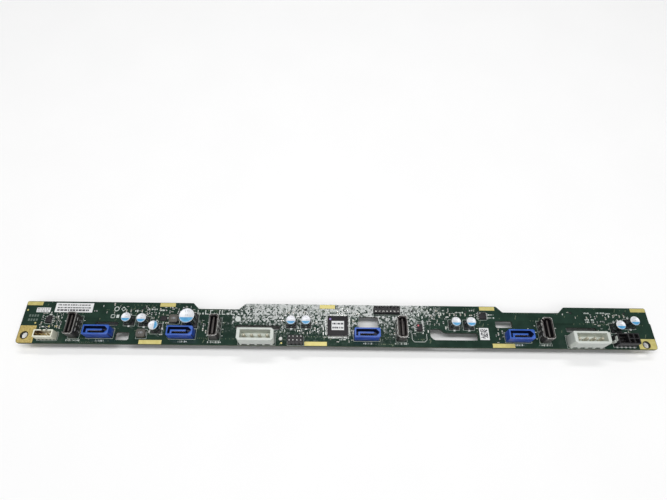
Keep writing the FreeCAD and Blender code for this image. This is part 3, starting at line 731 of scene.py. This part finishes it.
def dress_cable_ports():
    """Dark shells whose upward rim is painted pale as a highlight and whose inside is painted black as shade,
    black linings whose tops are painted lighter as a highlight, and their two rows of fine contacts.
    """
    bm = bmesh.new()
    for number, (shell, lining) in enumerate(
            zip(numbered("cable_port_shell_"), numbered("cable_port_insert_")), 1):
        # The shell's upward faces are painted pale as a highlight and its inside black as shade; the lining's
        # tops are painted lighter as a highlight
        softened(shell, "port_shell_" + str(number), "shell", "shell_metal", 0.07, 2, "pale_metal_highlight", "shade_black")
        softened(lining, "port_lining_" + str(number), "black", "black_plastic", 0.08, 2, "lining_top_highlight")
        low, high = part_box(lining)
        centre = middle((low, high))
        for side, i in product((-1, 1), range(PORT_CONTACTS)):
            y = centre.y + (i - (PORT_CONTACTS - 1) // 2) * 0.5 * MM
            x = centre.x + side * 0.5 * MM
            block(bm, x, y, 0.04 * MM, 0.11 * MM, low.z + 2.5 * MM, high.z - 1.1 * MM, 0.02 * MM)
    add_piece("port_contacts", bm, ["shell"])


def dress_port_latches():
    """Latch plates with bright folds, on the side of each port that faces the board's middle."""
    bm = bmesh.new()
    for low, high in boxes("cable_port_shell_"):
        inward = copysign(1, BOARD_MIDDLE_X - (low.x + high.x) / 2)
        face = high.x if inward > 0 else low.x
        plate, fold = (sorted((face, face + inward * out * MM)) for out in (0.18, 0.3))
        for part in (-1, 0, 1):
            y = (low.y + high.y) / 2 + part * 3.6 * MM
            near = (plate[0], y - 1.5 * MM, TOP + 1.2 * MM)
            soft_box(bm, near, (plate[1], y + 1.5 * MM, high.z - 2.6 * MM), 0.05 * MM)
            for z, reach in ((high.z - 3.0 * MM, 1.3), (TOP + 3.4 * MM, 0.7), (TOP + 1.3 * MM, 1.1)):
                far = (fold[1], y + (reach - 0.5) * MM, z + 0.45 * MM)
                soft_box(bm, (fold[0], y - reach * MM, z), far, 0.1 * MM, 1)
    add_piece("port_latches", bm, ["shell", "tin"])


def dress_power_headers():
    """White shrouds, painted a little lighter inside as painted light against the shade of the cavities, with
    round pins whose tips are rounded.
    """
    soften_each("power_header_", "power_socket_", "white", "white_plastic", 0.2, 3, deep="white_inside_lightened")
    for number, node in enumerate(numbered("power_header_pins_"), 1):
        bm = bmesh.new()
        for low, high, centre in solids(node):
            radius = (high.x - low.x) / 2
            lathe(bm, centre.x, centre.y, [
                (radius, low.z), (radius, high.z - 1.3 * MM), (0.86 * radius, high.z - 0.7 * MM),
                (0.6 * radius, high.z - 0.2 * MM), (0.3 * radius, high.z)], 28)
        add_piece("power_pins_" + str(number), bm, ["pin_brass"], [node], 50)


def pointed_pins(node, name, tip, look="tin", point=0.45):
    """Square pins with bevelled tips, whose ends are the given share of the pin's width."""
    bm = bmesh.new()
    for low, high, centre in solids(node):
        half = (high.x - low.x) / 2
        rings = [
            [bm.verts.new((centre.x + u * half * scale, centre.y + v * half * scale, z)) for u, v in SQUARE]
            for scale, z in ((1, low.z), (1, high.z - tip), (point, high.z))]
        skin(bm, rings)
        bm.faces.new(rings[-1])
        bm.faces.new(rings[0][::-1])
    bevel_sharp(bm, 0.05 * MM, 1, 60)
    add_piece(name, bm, [look], [node])


def dress_small_headers():
    # The cavity is painted darker than the beige outside as shade, and browner at its left end
    softened("signal_header", "signal_socket", "beige", "beige_plastic", 0.18, 3, deep="beige_inside_shade")
    pointed_pins("signal_header_pins", "signal_pins", 0.5 * MM, "contact")
    softened("pin_header_base", "header_base", "black", "black_plastic", 0.08)
    pointed_pins("pin_header_pins", "header_pins", 0.25 * MM, point=0.75)
    softened("edge_socket", "low_socket", "black", "black_plastic", 0.1)
    softened("aux_header", "aux_socket", "black", "black_plastic", 0.15)
    pointed_pins("aux_header_pins", "aux_pins", 0.5 * MM, "shell")
    bm = bmesh.new()
    low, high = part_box("edge_socket")
    pitch = (high.y - low.y) / 2
    for column, line, side in product(range(7), (-0.5, 0.5), (-1, 1)):
        x = low.x + (column + 0.5) * pitch + side * 0.3 * MM
        y = (low.y + high.y) / 2 + line * pitch
        sunk = 1.6 * MM if line > 0 else 0.05 * MM
        block(bm, x, y, 0.2 * MM, 0.45 * MM, low.z + 0.6 * MM, high.z - sunk, 0.04 * MM)
    # The contacts take the pale metal look: their own metal, with a painted highlight
    add_piece("low_socket_contacts", bm, ["pale_metal_highlight"])


def dress_hold_downs():
    """The pale clip and foot at the left end of the auxiliary header, and its front pads."""
    bm = bmesh.new()
    low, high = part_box("aux_header")
    x, y = low.x, low.y
    for x0, y0, z0, x1, y1, z1 in (
            (-0.9, 1.6, 0, 0, 3.4, 4.2), (-0.5, 2.2, 4.2, 0, 5.6, 6.4), (-3.2, 1.9, 0, -1.6, 3.3, 1.6)):
        near = (x + x0 * MM, y + y0 * MM, TOP + z0 * MM)
        soft_box(bm, near, (x + x1 * MM, y + y1 * MM, TOP + z1 * MM), 0.15 * MM)
    add_piece("aux_clip", bm, ["white"])
    bm = bmesh.new()
    for i in range(5):
        left = x + (1.2 + i * 2.9) * MM
        soft_box(bm, (left, y - 1.0 * MM, TOP), (left + 1.3 * MM, y + 0.1 * MM, TOP + 0.25 * MM), 0.08 * MM)
    add_piece("aux_feet", bm, ["solder"])


def dress_receptacles():
    """The drive receptacles under the board, with their blades and solder tails."""
    soften_each("drive_receptacle_", "drive_socket_", "black", "receptacle_plastic", 0.14)
    softened("drive_receptacle_blades", "drive_blades", "contact", "contact_metal", 0.04, 1)
    bm = bmesh.new()
    blades = islands("drive_receptacle_blades")
    for low, high in boxes("drive_receptacle_"):
        for a, b in blades:
            if not low.x < a.x < high.x:
                continue
            side = -1 if a.y < (low.y + high.y) / 2 else 1
            place = ((a.x + b.x) / 2, low.y if side < 0 else high.y, UNDER)
            reach = 0.55 * MM if side > 0 else 0.9 * MM
            tail = [
                (0, 0), (reach, 0), (reach, -0.16 * MM), (0.14 * MM, -0.16 * MM),
                (0.14 * MM, -0.9 * MM), (0, -0.9 * MM)]
            extrude_profile(bm, tail, place, (0, side), min(b.x - a.x, 0.4 * MM))
    add_piece("drive_tails", bm, ["tin"])


# ---- capacitors
def dress_capacitors():
    """Drawn cans with a rolled rim, a crimp at the base and a blue polarity segment; the lids are a pale copy
    of the can's metal as a painted highlight, and the sides a dark copy as painted shade.
    """
    bm = bmesh.new()
    bases = islands("capacitor_bases")
    rim = 0.42 * MM
    for low, high, centre in solids("capacitor_cans"):
        radius = (high.x - low.x) / 2
        wall = [
            (radius * 0.97, low.z), (radius * 0.97, low.z + 0.25 * MM), (radius * 0.90, low.z + 0.55 * MM),
            (radius * 0.90, low.z + 0.95 * MM), (radius, low.z + 1.25 * MM), (radius, high.z - rim)]
        for step in range(1, 6):
            angle = step * pi / 10
            wall.append((radius - rim + rim * cos(angle), high.z - rim + rim * sin(angle)))
        wall.append((radius - rim - 0.08 * MM, high.z - 0.06 * MM))
        faces = lathe(bm, centre.x, centre.y, wall, 48)
        # The lid takes the pale lid look, as a painted highlight
        painted([face for face in faces if face.calc_center_median().z > high.z - 0.25 * MM], 1)
        base = min(bases, key=lambda b: (middle(b) - centre).length)
        top_print(bm, centre, radius - 0.16 * MM, high.z - 0.015 * MM, base, radius > 4 * MM)
    looks = ["can", "can_top_highlight", "can_blue", "can_print"]
    add_piece("capacitors", bm, looks, ["capacitor_cans"], 40)
    softened("capacitor_bases", "capacitor_feet", "black", "black_plastic", 0.1)
    softened("capacitor_tabs", "capacitor_leads", "tin", "lead_metal", 0.05, 1)


def tabs_are_sideways(base):
    """True for a capacitor whose solder tabs are on its left and right."""
    centre = middle(base)
    for low, high, tab in solids("capacitor_tabs"):
        if (tab - centre).xy.length < 7 * MM and abs(tab.y - centre.y) < 0.5 * MM:
            return abs(tab.x - centre.x) < 4.5 * MM
    return False


def top_print(bm, centre, radius, z, base, large):
    """The blue segment and the plain numbers on a can's lid."""
    turn = 0.0 if tabs_are_sideways(base) else -pi / 2
    spread = radians(74)
    arc = [turn - spread + 2 * spread * i / 14 for i in range(15)]
    flat(bm, [(centre.x + radius * cos(t), centre.y + radius * sin(t)) for t in arc], z, 2)
    size = 1.6 * MM if large else 1.05 * MM
    shift = Vector((cos(turn), sin(turn), 0)) * -0.28 * radius
    across = Vector((0, 1, 0)) if turn else Vector((1, 0, 0))
    for line, text in ((0.62, "330" if large else "100"), (-0.62, "16")):
        place = centre + shift + across * line * size * 1.3
        digits(bm, text, size, place.x, place.y, z, 3, turn + pi / 2)


# ---- chips
def gull_lead(bm, place, out, width, shoulder, reach):
    """One bent lead from a chip's side down to its pad."""
    t = 0.15 * MM
    bend = 0.35 * reach
    profile = [
        (0, shoulder), (bend - 0.3 * t, shoulder), (bend + 0.6 * t, shoulder - 0.6 * t),
        (bend + 1.6 * t, 1.5 * t), (bend + 2.2 * t, t), (reach, t), (reach, 0), (bend + 1.4 * t, 0),
        (bend + 0.7 * t, 0.7 * t), (bend - 0.3 * t, shoulder - 1.4 * t), (bend - 0.8 * t, shoulder - t),
        (0, shoulder - t)]
    extrude_profile(bm, profile, place, out, width)


def chip_sides(bm, body, leads):
    """Bent leads where the CAD has straight ones, each pointing away from its chip."""
    centre = middle(body)
    half = (body[1] - body[0]) / 2
    for low, high in leads:
        lead = middle((low, high))
        away = lead - centre
        i = 0 if abs(away.x) / half.x > abs(away.y) / half.y else 1
        out = [0, 0]
        out[i] = copysign(1, away[i])
        place = [lead.x, lead.y, TOP]
        place[i] = centre[i] + out[i] * half[i]
        gull_lead(bm, place, out, high[1 - i] - low[1 - i], high.z - TOP, high[i] - low[i])


def dress_chips():
    bm = bmesh.new()
    softened("main_chip", "control_chip", "chip", "chip_plastic", 0.06, 1)
    chip_sides(bm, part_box("main_chip"), islands("main_chip_leads"))
    soften_each("small_chip_", "logic_chip_", "chip", "chip_plastic", 0.05, 1)
    small = islands("small_chip_leads")
    for body in boxes("small_chip_"):
        chip_sides(bm, body, [b for b in small if (middle(b) - middle(body)).xy.length < 5 * MM])
    add_piece("chip_leads", bm, ["tin"], ["main_chip_leads", "small_chip_leads"], 20)
    softened("converter_chip", "power_chip", "chip", "chip_plastic", 0.08)
    soften_each("inductor_", "coil_", "ferrite", "inductor_grey", 0.3, 3)
    softened("inductor_terminals", "coil_terminals", "tin", "lead_metal", 0.04, 1)


def dress_chip_marks():
    """Round marks near the chips' corners, and a plain number on each inductor."""
    bm = bmesh.new()
    lift = 0.01 * MM
    # chip, across from its left, down from its back, radius, points round it, look
    for node, across, down, radius, count, look in (
            ("main_chip", 1.9, 2.4, 0.7, 20, 3), ("small_chip_2", 1.1, 1.2, 0.62, 16, 1),
            ("small_chip_1", 0.8, 0.8, 0.28, 16, 0), ("small_chip_3", 0.8, 0.8, 0.28, 16, 0)):
        low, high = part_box(node)
        flat_ring(bm, low.x + across * MM, high.y - down * MM, radius * MM, 0, high.z + lift, count, look)
    for low, high in boxes("inductor_"):
        centre = middle((low, high))
        digits(bm, "150", 1.3 * MM, centre.x, centre.y, high.z + lift, 2)
    add_piece("chip_marks", bm, ["silk", "red", "can_print", "violet"], smooth=0)


# ---- small parts
# Where the board's upper face is taken, as (x0, y0, x1, y1)
taken = [
    (low.x, low.y, high.x, high.y) for node in frame["nodes"] for low, high in islands(node)
    if not node.startswith(("circuit_board", "drive_receptacle", "chip_label"))]


def is_free(x, y, half_x, half_y):
    """True where a part of that size would stand clear of the others and of the board's edges."""
    for x0, y0, x1, y1 in taken:
        if x + half_x > x0 - PART_GAP and x - half_x < x1 + PART_GAP and (
                y + half_y > y0 - PART_GAP and y - half_y < y1 + PART_GAP):
            return False
    half_x, half_y = half_x + EDGE_GAP, half_y + EDGE_GAP
    return all(on_board(x + u * half_x, y + v * half_y) for u, v in product((-1, 0, 1), repeat=2))


# The looks of a chip part, in the order that its mesh holds them
RESISTOR, END_CAP, JOINT, CERAMIC, PALE = range(5)


def small_part(bm, centre, length, width, height, along_x, body_index):
    """A two-ended chip part: body, end caps and a little solder at each end."""
    def piece(u0, u1, half, z0, z1, edge, index):
        near, far = (
            (centre[0] + u, centre[1] + v) if along_x else (centre[0] + v, centre[1] + u)
            for u, v in ((u0, -half), (u1, half)))
        soft_box(bm, (*near, z0), (*far, z1), edge, index)

    half = length / 2
    cap = 0.24 * length
    wide = width / 2
    piece(-half + cap, half - cap, 0.94 * wide, TOP + 0.04 * MM, TOP + 0.97 * height, 0.03 * MM, body_index)
    for side in (-1, 1):
        inner, outer = sorted((side * (half - cap), side * half))
        piece(inner, outer, wide, TOP, TOP + height, 0.06 * MM, END_CAP)
        inner, outer = sorted((side * (half - 0.3 * cap), side * (half + 0.22 * length)))
        piece(inner, outer, 0.9 * wide, TOP, TOP + 0.22 * height, 0.05 * MM, JOINT)


def dress_small_parts():
    """The CAD's chip parts with their end caps, and finer ones scattered round the circuits."""
    bm = bmesh.new()
    for node, body in (("chip_resistors", RESISTOR), ("chip_capacitors", CERAMIC)):
        for low, high, centre in solids(node):
            size = high - low
            along_x = size.x > size.y
            length, width = max(size.x, size.y), min(size.x, size.y)
            kind = body if rng.random() < 0.7 else PALE
            small_part(bm, centre, length * 0.86, width, size.z, along_x, kind)
    size = board_high - board_low
    for x0, x1, y0, y1, count in CIRCUIT_REGIONS:
        made = 0
        for attempt in range(count * 12):
            x = board_low.x + rng.uniform(x0, x1) * size.x
            y = board_low.y + rng.uniform(y0, y1) * size.y
            length, width = rng.choice(((1.0, 0.5), (1.0, 0.5), (1.6, 0.8)))
            along_x = rng.random() < 0.4
            half = (0.75 * length * MM, 0.5 * width * MM)
            place = (x, y, *(half if along_x else half[::-1]))
            if not is_free(*place):
                continue
            taken.append((x - place[2], y - place[3], x + place[2], y + place[3]))
            body = rng.choice((RESISTOR, CERAMIC, CERAMIC, PALE))
            small_part(bm, (x, y), length * MM, width * MM, 0.45 * width * MM + 0.1 * MM, along_x, body)
            made += 1
            if made >= count:
                break
    looks = ["resistor", "tin", "solder", "ceramic", "pale_part"]
    add_piece("small_parts", bm, looks, ["chip_resistors", "chip_capacitors"])


def dress_solder():
    """Solder pads under tabs and leads, and joints where pins come through."""
    bm = bmesh.new()
    grow = 0.35 * MM
    for low, high in islands("capacitor_tabs"):
        far = (high.x + grow, high.y + grow, TOP + 0.14 * MM)
        soft_box(bm, (low.x - grow, low.y - grow, TOP), far, 0.1 * MM)
    for low, high, centre in solids("small_chip_leads") + solids("main_chip_leads"):
        away = centre - nearest_chip(centre)
        i = 0 if high.x - low.x > high.y - low.y else 1
        place = [centre.x, centre.y]
        place[i] += copysign(1, away[i]) * 0.45 * MM
        half = [0.17 * MM, 0.17 * MM]
        half[i] = 0.55 * MM
        block(bm, *place, *half, TOP, TOP + 0.07 * MM, 0.03 * MM)
    for node in (
            *numbered("power_header_pins_"), "signal_header_pins", "pin_header_pins", "aux_header_pins"):
        for low, high, centre in solids(node):
            r = (high.x - low.x) / 2
            pad = r + 0.55 * MM
            lathe(bm, centre.x, centre.y, [
                (0.35 * r, UNDER - 1.5 * MM), (0.8 * r, UNDER - 1.35 * MM), (0.85 * r, UNDER - 0.9 * MM),
                (r * 1.15, UNDER - 0.4 * MM), (0.8 * pad, UNDER - 0.08 * MM), (pad, UNDER)], 18)
    add_piece("solder_work", bm, ["solder"])


def nearest_chip(point):
    chips = [middle(box) for box in [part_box("main_chip")] + boxes("small_chip_")]
    return min(chips, key=lambda c: (c - point).xy.length)


def dress_board_pads():
    """Round test pads, a round pale part and two rows of bare pads."""
    bm = bmesh.new()
    for place in ((1.8, 23.1), (9.3, 14.0), (19.0, 11.7), (23.9, 11.8), (86.8, 15.5), (174.5, 1.9)):
        lathe(bm, *spot(*place), [(0.62 * MM, TOP), (0.58 * MM, TOP + 0.05 * MM)], 20)
    add_piece("test_pads", bm, ["gold"])
    bm = bmesh.new()
    profile = [(1.25 * MM, TOP), (1.25 * MM, TOP + 0.5 * MM), (0.95 * MM, TOP + 0.8 * MM)]
    lathe(bm, *spot(173.9, 4.8), profile, 28)
    add_piece("round_pad_part", bm, ["pale_part"])
    bm = bmesh.new()
    for column, row in product(range(4), range(2)):
        x, y = spot(4.4 + 1.75 * column, 16.2 + 2.9 * row)
        block(bm, x, y, 0.55 * MM, 0.8 * MM, TOP, TOP + 0.05 * MM, 0.02 * MM)
    add_piece("bare_pads", bm, ["bare_pad"])


# ---- print and labels
def outline(bm, x0, y0, x1, y1, line, z):
    corners = [(x0, y0), (x1, y0), (x1, y1), (x0, y1)]
    for a, b in zip(corners, corners[1:] + corners[:1]):
        flat_line(bm, a, b, line, z)


def tick_row(bm, x, y, count, z, tall=1.0):
    """A short row of small strokes and dots."""
    pitch = 1.05 * MM
    left = x - pitch * (count - 1) / 2
    for i in range(count):
        wide = rng.choice((0.2, 0.5, 0.7)) * MM
        high = rng.choice((0.55, 1.0, 1.0)) * tall * MM
        flat_box(bm, left + i * pitch - wide / 2, y - high / 2, left + i * pitch + wide / 2, y + high / 2, z)


def dress_silkscreen():
    """Outlines round the parts, plain numbers and simple marks in white print."""
    bm = bmesh.new()
    z = TOP + LAYER
    line = 0.16 * MM
    gap = 0.45 * MM
    groups = ("data_header_", "cable_port_shell_", "power_header_", "small_chip_", "inductor_")
    singles = ("signal_header", "pin_header_base", "edge_socket", "aux_header", "main_chip")
    capacitors = islands("capacitor_bases")
    for low, high in sum(map(boxes, groups), []) + list(map(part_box, singles)) + capacitors:
        front = max(low.y - gap, board_low.y + 0.3 * MM)
        outline(bm, low.x - gap, front, high.x + gap, high.y + gap, line, z)
    for low, high in boxes("data_header_"):
        tick_row(bm, (low.x + high.x) / 2 + 0.5 * MM, low.y - 1.9 * MM, 6, z, 1.2)
    ports = boxes("cable_port_shell_")
    for low, high in ports:
        tick_row(bm, (low.x + high.x) / 2, low.y - 1.5 * MM, 9, z, 1.3)
    for index, (low, high) in enumerate(capacitors, 11):
        digits(bm, str(index), 1.2 * MM, (low.x + high.x) / 2, high.y + 1.5 * MM, z)
    for low, high in ports:
        for x, part in product((low.x - 1.9 * MM, high.x + 1.5 * MM), (-1, 0, 1)):
            y = (low.y + high.y) / 2 + part * 4.6 * MM
            if is_free(x, y, 0.5 * MM, 0.25 * MM):
                flat_box(bm, x - 0.5 * MM, y - 0.22 * MM, x + 0.5 * MM, y + 0.22 * MM, z)
    loop = [(262.0, 9.1), (262.0, 5.2), (263.4, 3.7), (270.4, 3.7), (271.9, 5.2), (271.9, 9.1)]
    for a, b in zip(loop, loop[1:]):
        flat_line(bm, spot(*a), spot(*b), 0.3 * MM, z)
    large_marks(bm, z)
    for from_left, from_front, count in TICK_ROWS:
        x, y = spot(from_left, from_front)
        if clear_run((x - 2.5 * MM, y), (x + 2.5 * MM, y)):
            tick_row(bm, x, y, count, z)
    add_piece("silkscreen", bm, ["silk"], smooth=0)


def large_marks(bm, z):
    """Large plain marks in white print, in the free stretches of the board."""
    x, y = spot(116.4, 21.4)
    line = 0.5 * MM
    for i in range(9):
        width = (2.4, 1.0, 2.4, 1.9)[i % 4] * MM
        tall = (3.1, 1.2, 3.1)[i % 3] * MM
        if clear_run((x, y), (x + width, y)) and clear_run((x, y + tall), (x + width, y + tall)):
            flat_box(bm, x, y, x + line, y + tall, z)
            flat_box(bm, x + line, y, x + width, y + line, z)
            if i % 2:
                flat_box(bm, x + line, y + tall - line, x + width, y + tall, z)
        x += width + 0.9 * MM
    flat_ring(bm, *spot(144.3, 18.4), 1.9 * MM, 0, z, 32)
    x, y = spot(61.4, 24.6)
    flat_ring(bm, x, y, 1.7 * MM, 1.2 * MM, z, 28)
    flat_ring(bm, x + 4.6 * MM, y, 1.7 * MM, 1.2 * MM, z, 4)
    x, y = spot(58.6, 18.2)
    outline(bm, x, y, x + 2.4 * MM, y + 2.2 * MM, 0.35 * MM, z)
    flat_box(bm, x + 3.6 * MM, y, x + 5.4 * MM, y + 2.2 * MM, z)


def printed_lines(bm, low, high, rows, z, heavy):
    """Rows of dashes that stand for print on a label."""
    size = high - low
    margin = 0.06
    for row in range(rows):
        y = low.y + size.y * (margin + (1 - 2 * margin) * (row + 0.25) / rows)
        tall = size.y * (1 - 2 * margin) / rows * (0.62 if row in heavy else 0.42)
        x = low.x + size.x * margin
        end = high.x - size.x * margin
        while x < end - 0.6 * MM:
            width = rng.uniform(0.35, 1.9) * MM * (1.2 if row in heavy else 1)
            width = min(width, end - x)
            flat_box(bm, x, y, x + width, y + tall, z, 1)
            x += width + rng.uniform(0.25, 0.6) * MM


def label(node):
    """A paper label with soft edges, in a mesh that still takes its print."""
    low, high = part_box(node)
    bm = bmesh.new()
    soft_box(bm, low, high, 0.03 * MM)
    return bm, low, high, high.z + 0.008 * MM


def dress_labels():
    looks = ["paper", "ink"]
    for node, rows, heavy in (("address_label", 3, (0,)), ("strip_label", 2, ()), ("chip_label", 2, ())):
        bm, low, high, z = label(node)
        printed_lines(bm, low, high, rows, z, heavy)
        add_piece(node.replace("label", "paper"), bm, looks, [node])
    bm, low, high, z = label("code_label")
    columns, rows = 11, 14
    size = high - low
    width, height = 0.74 * size.x / columns, 0.76 * size.y / rows
    x0, y0 = low.x + 0.12 * size.x, low.y + 0.13 * size.y
    for i, j in product(range(columns), range(rows)):
        if rng.random() < 0.55:
            flat_box(bm, x0 + i * width, y0 + j * height, x0 + (i + 1) * width, y0 + (j + 1) * height, z, 1)
    add_piece("code_paper", bm, looks, ["code_label"])


# ---- stage
def make_stage():
    """A pale paper floor under the part, a plain white world and three lamps."""
    low, high = cad_bounds
    floor_mesh = bpy.data.meshes.new("floor")
    corners = [(FLOOR_REACH * u, FLOOR_REACH * v, low.z) for u, v in SQUARE]
    floor_mesh.from_pydata(corners, [], [(0, 1, 2, 3)])
    floor = add_object("floor", floor_mesh)
    floor_mesh.materials.append(
        surface("floor_paper", (0.955, 0.955, 0.955), (0.965, 0.965, 0.965), 20, 0.9, 0.0, specular=0.1))
    world = bpy.data.worlds.new("studio")
    bpy.context.scene.world = world
    world.use_nodes = True
    background = world.node_tree.nodes["Background"]
    feed(world.node_tree, background, {"Color": (1, 1, 1, 1), "Strength": WORLD_STRENGTH})
    for name, place, size, power, leans in LAMPS:
        data = bpy.data.lights.new(name, "AREA")
        data.shape = "RECTANGLE"
        data.size, data.size_y = size
        data.energy = power
        lamp = add_object(name, data)
        lamp.location = (low + high) / 2 + Vector(place)
        aim = Vector((0, -place[1] if leans else 0, -place[2]))
        lamp.rotation_euler = aim.to_track_quat("-Z", "Y").to_euler()


def make_camera():
    heading, depression, roll = map(radians, (CAMERA_HEADING, CAMERA_DEPRESSION, CAMERA_ROLL))
    flat_reach = cos(depression)
    forward = Vector((
        sin(heading) * flat_reach, cos(heading) * flat_reach, -sin(depression)))
    level = Vector((cos(heading), -sin(heading), 0))
    above = level.cross(forward)
    right = level * cos(roll) + above * sin(roll)
    up = right.cross(forward)
    aim = Vector((BOARD_MIDDLE_X + AIM_FROM_MIDDLE, board_high.y + AIM_BEHIND_BOARD, TOP))
    data = bpy.data.cameras.new("camera")
    data.lens = CAMERA_LENS
    data.clip_start = 0.01
    camera = add_object("camera", data)
    turn = Matrix((right, up, -forward)).transposed().to_4x4()
    camera.matrix_world = Matrix.Translation(aim - forward * CAMERA_DISTANCE) @ turn
    bpy.context.scene.camera = camera


M = make_materials()
dress_board()
dress_pads()
dress_under_pads()
dress_copper()
dress_data_headers()
dress_cable_ports()
dress_port_latches()
dress_power_headers()
dress_small_headers()
dress_hold_downs()
dress_receptacles()
dress_capacitors()
dress_chips()
dress_chip_marks()
dress_small_parts()
dress_solder()
dress_board_pads()
dress_silkscreen()
dress_labels()
make_stage()
make_camera()

bpy.context.scene.view_settings.view_transform = "Standard"
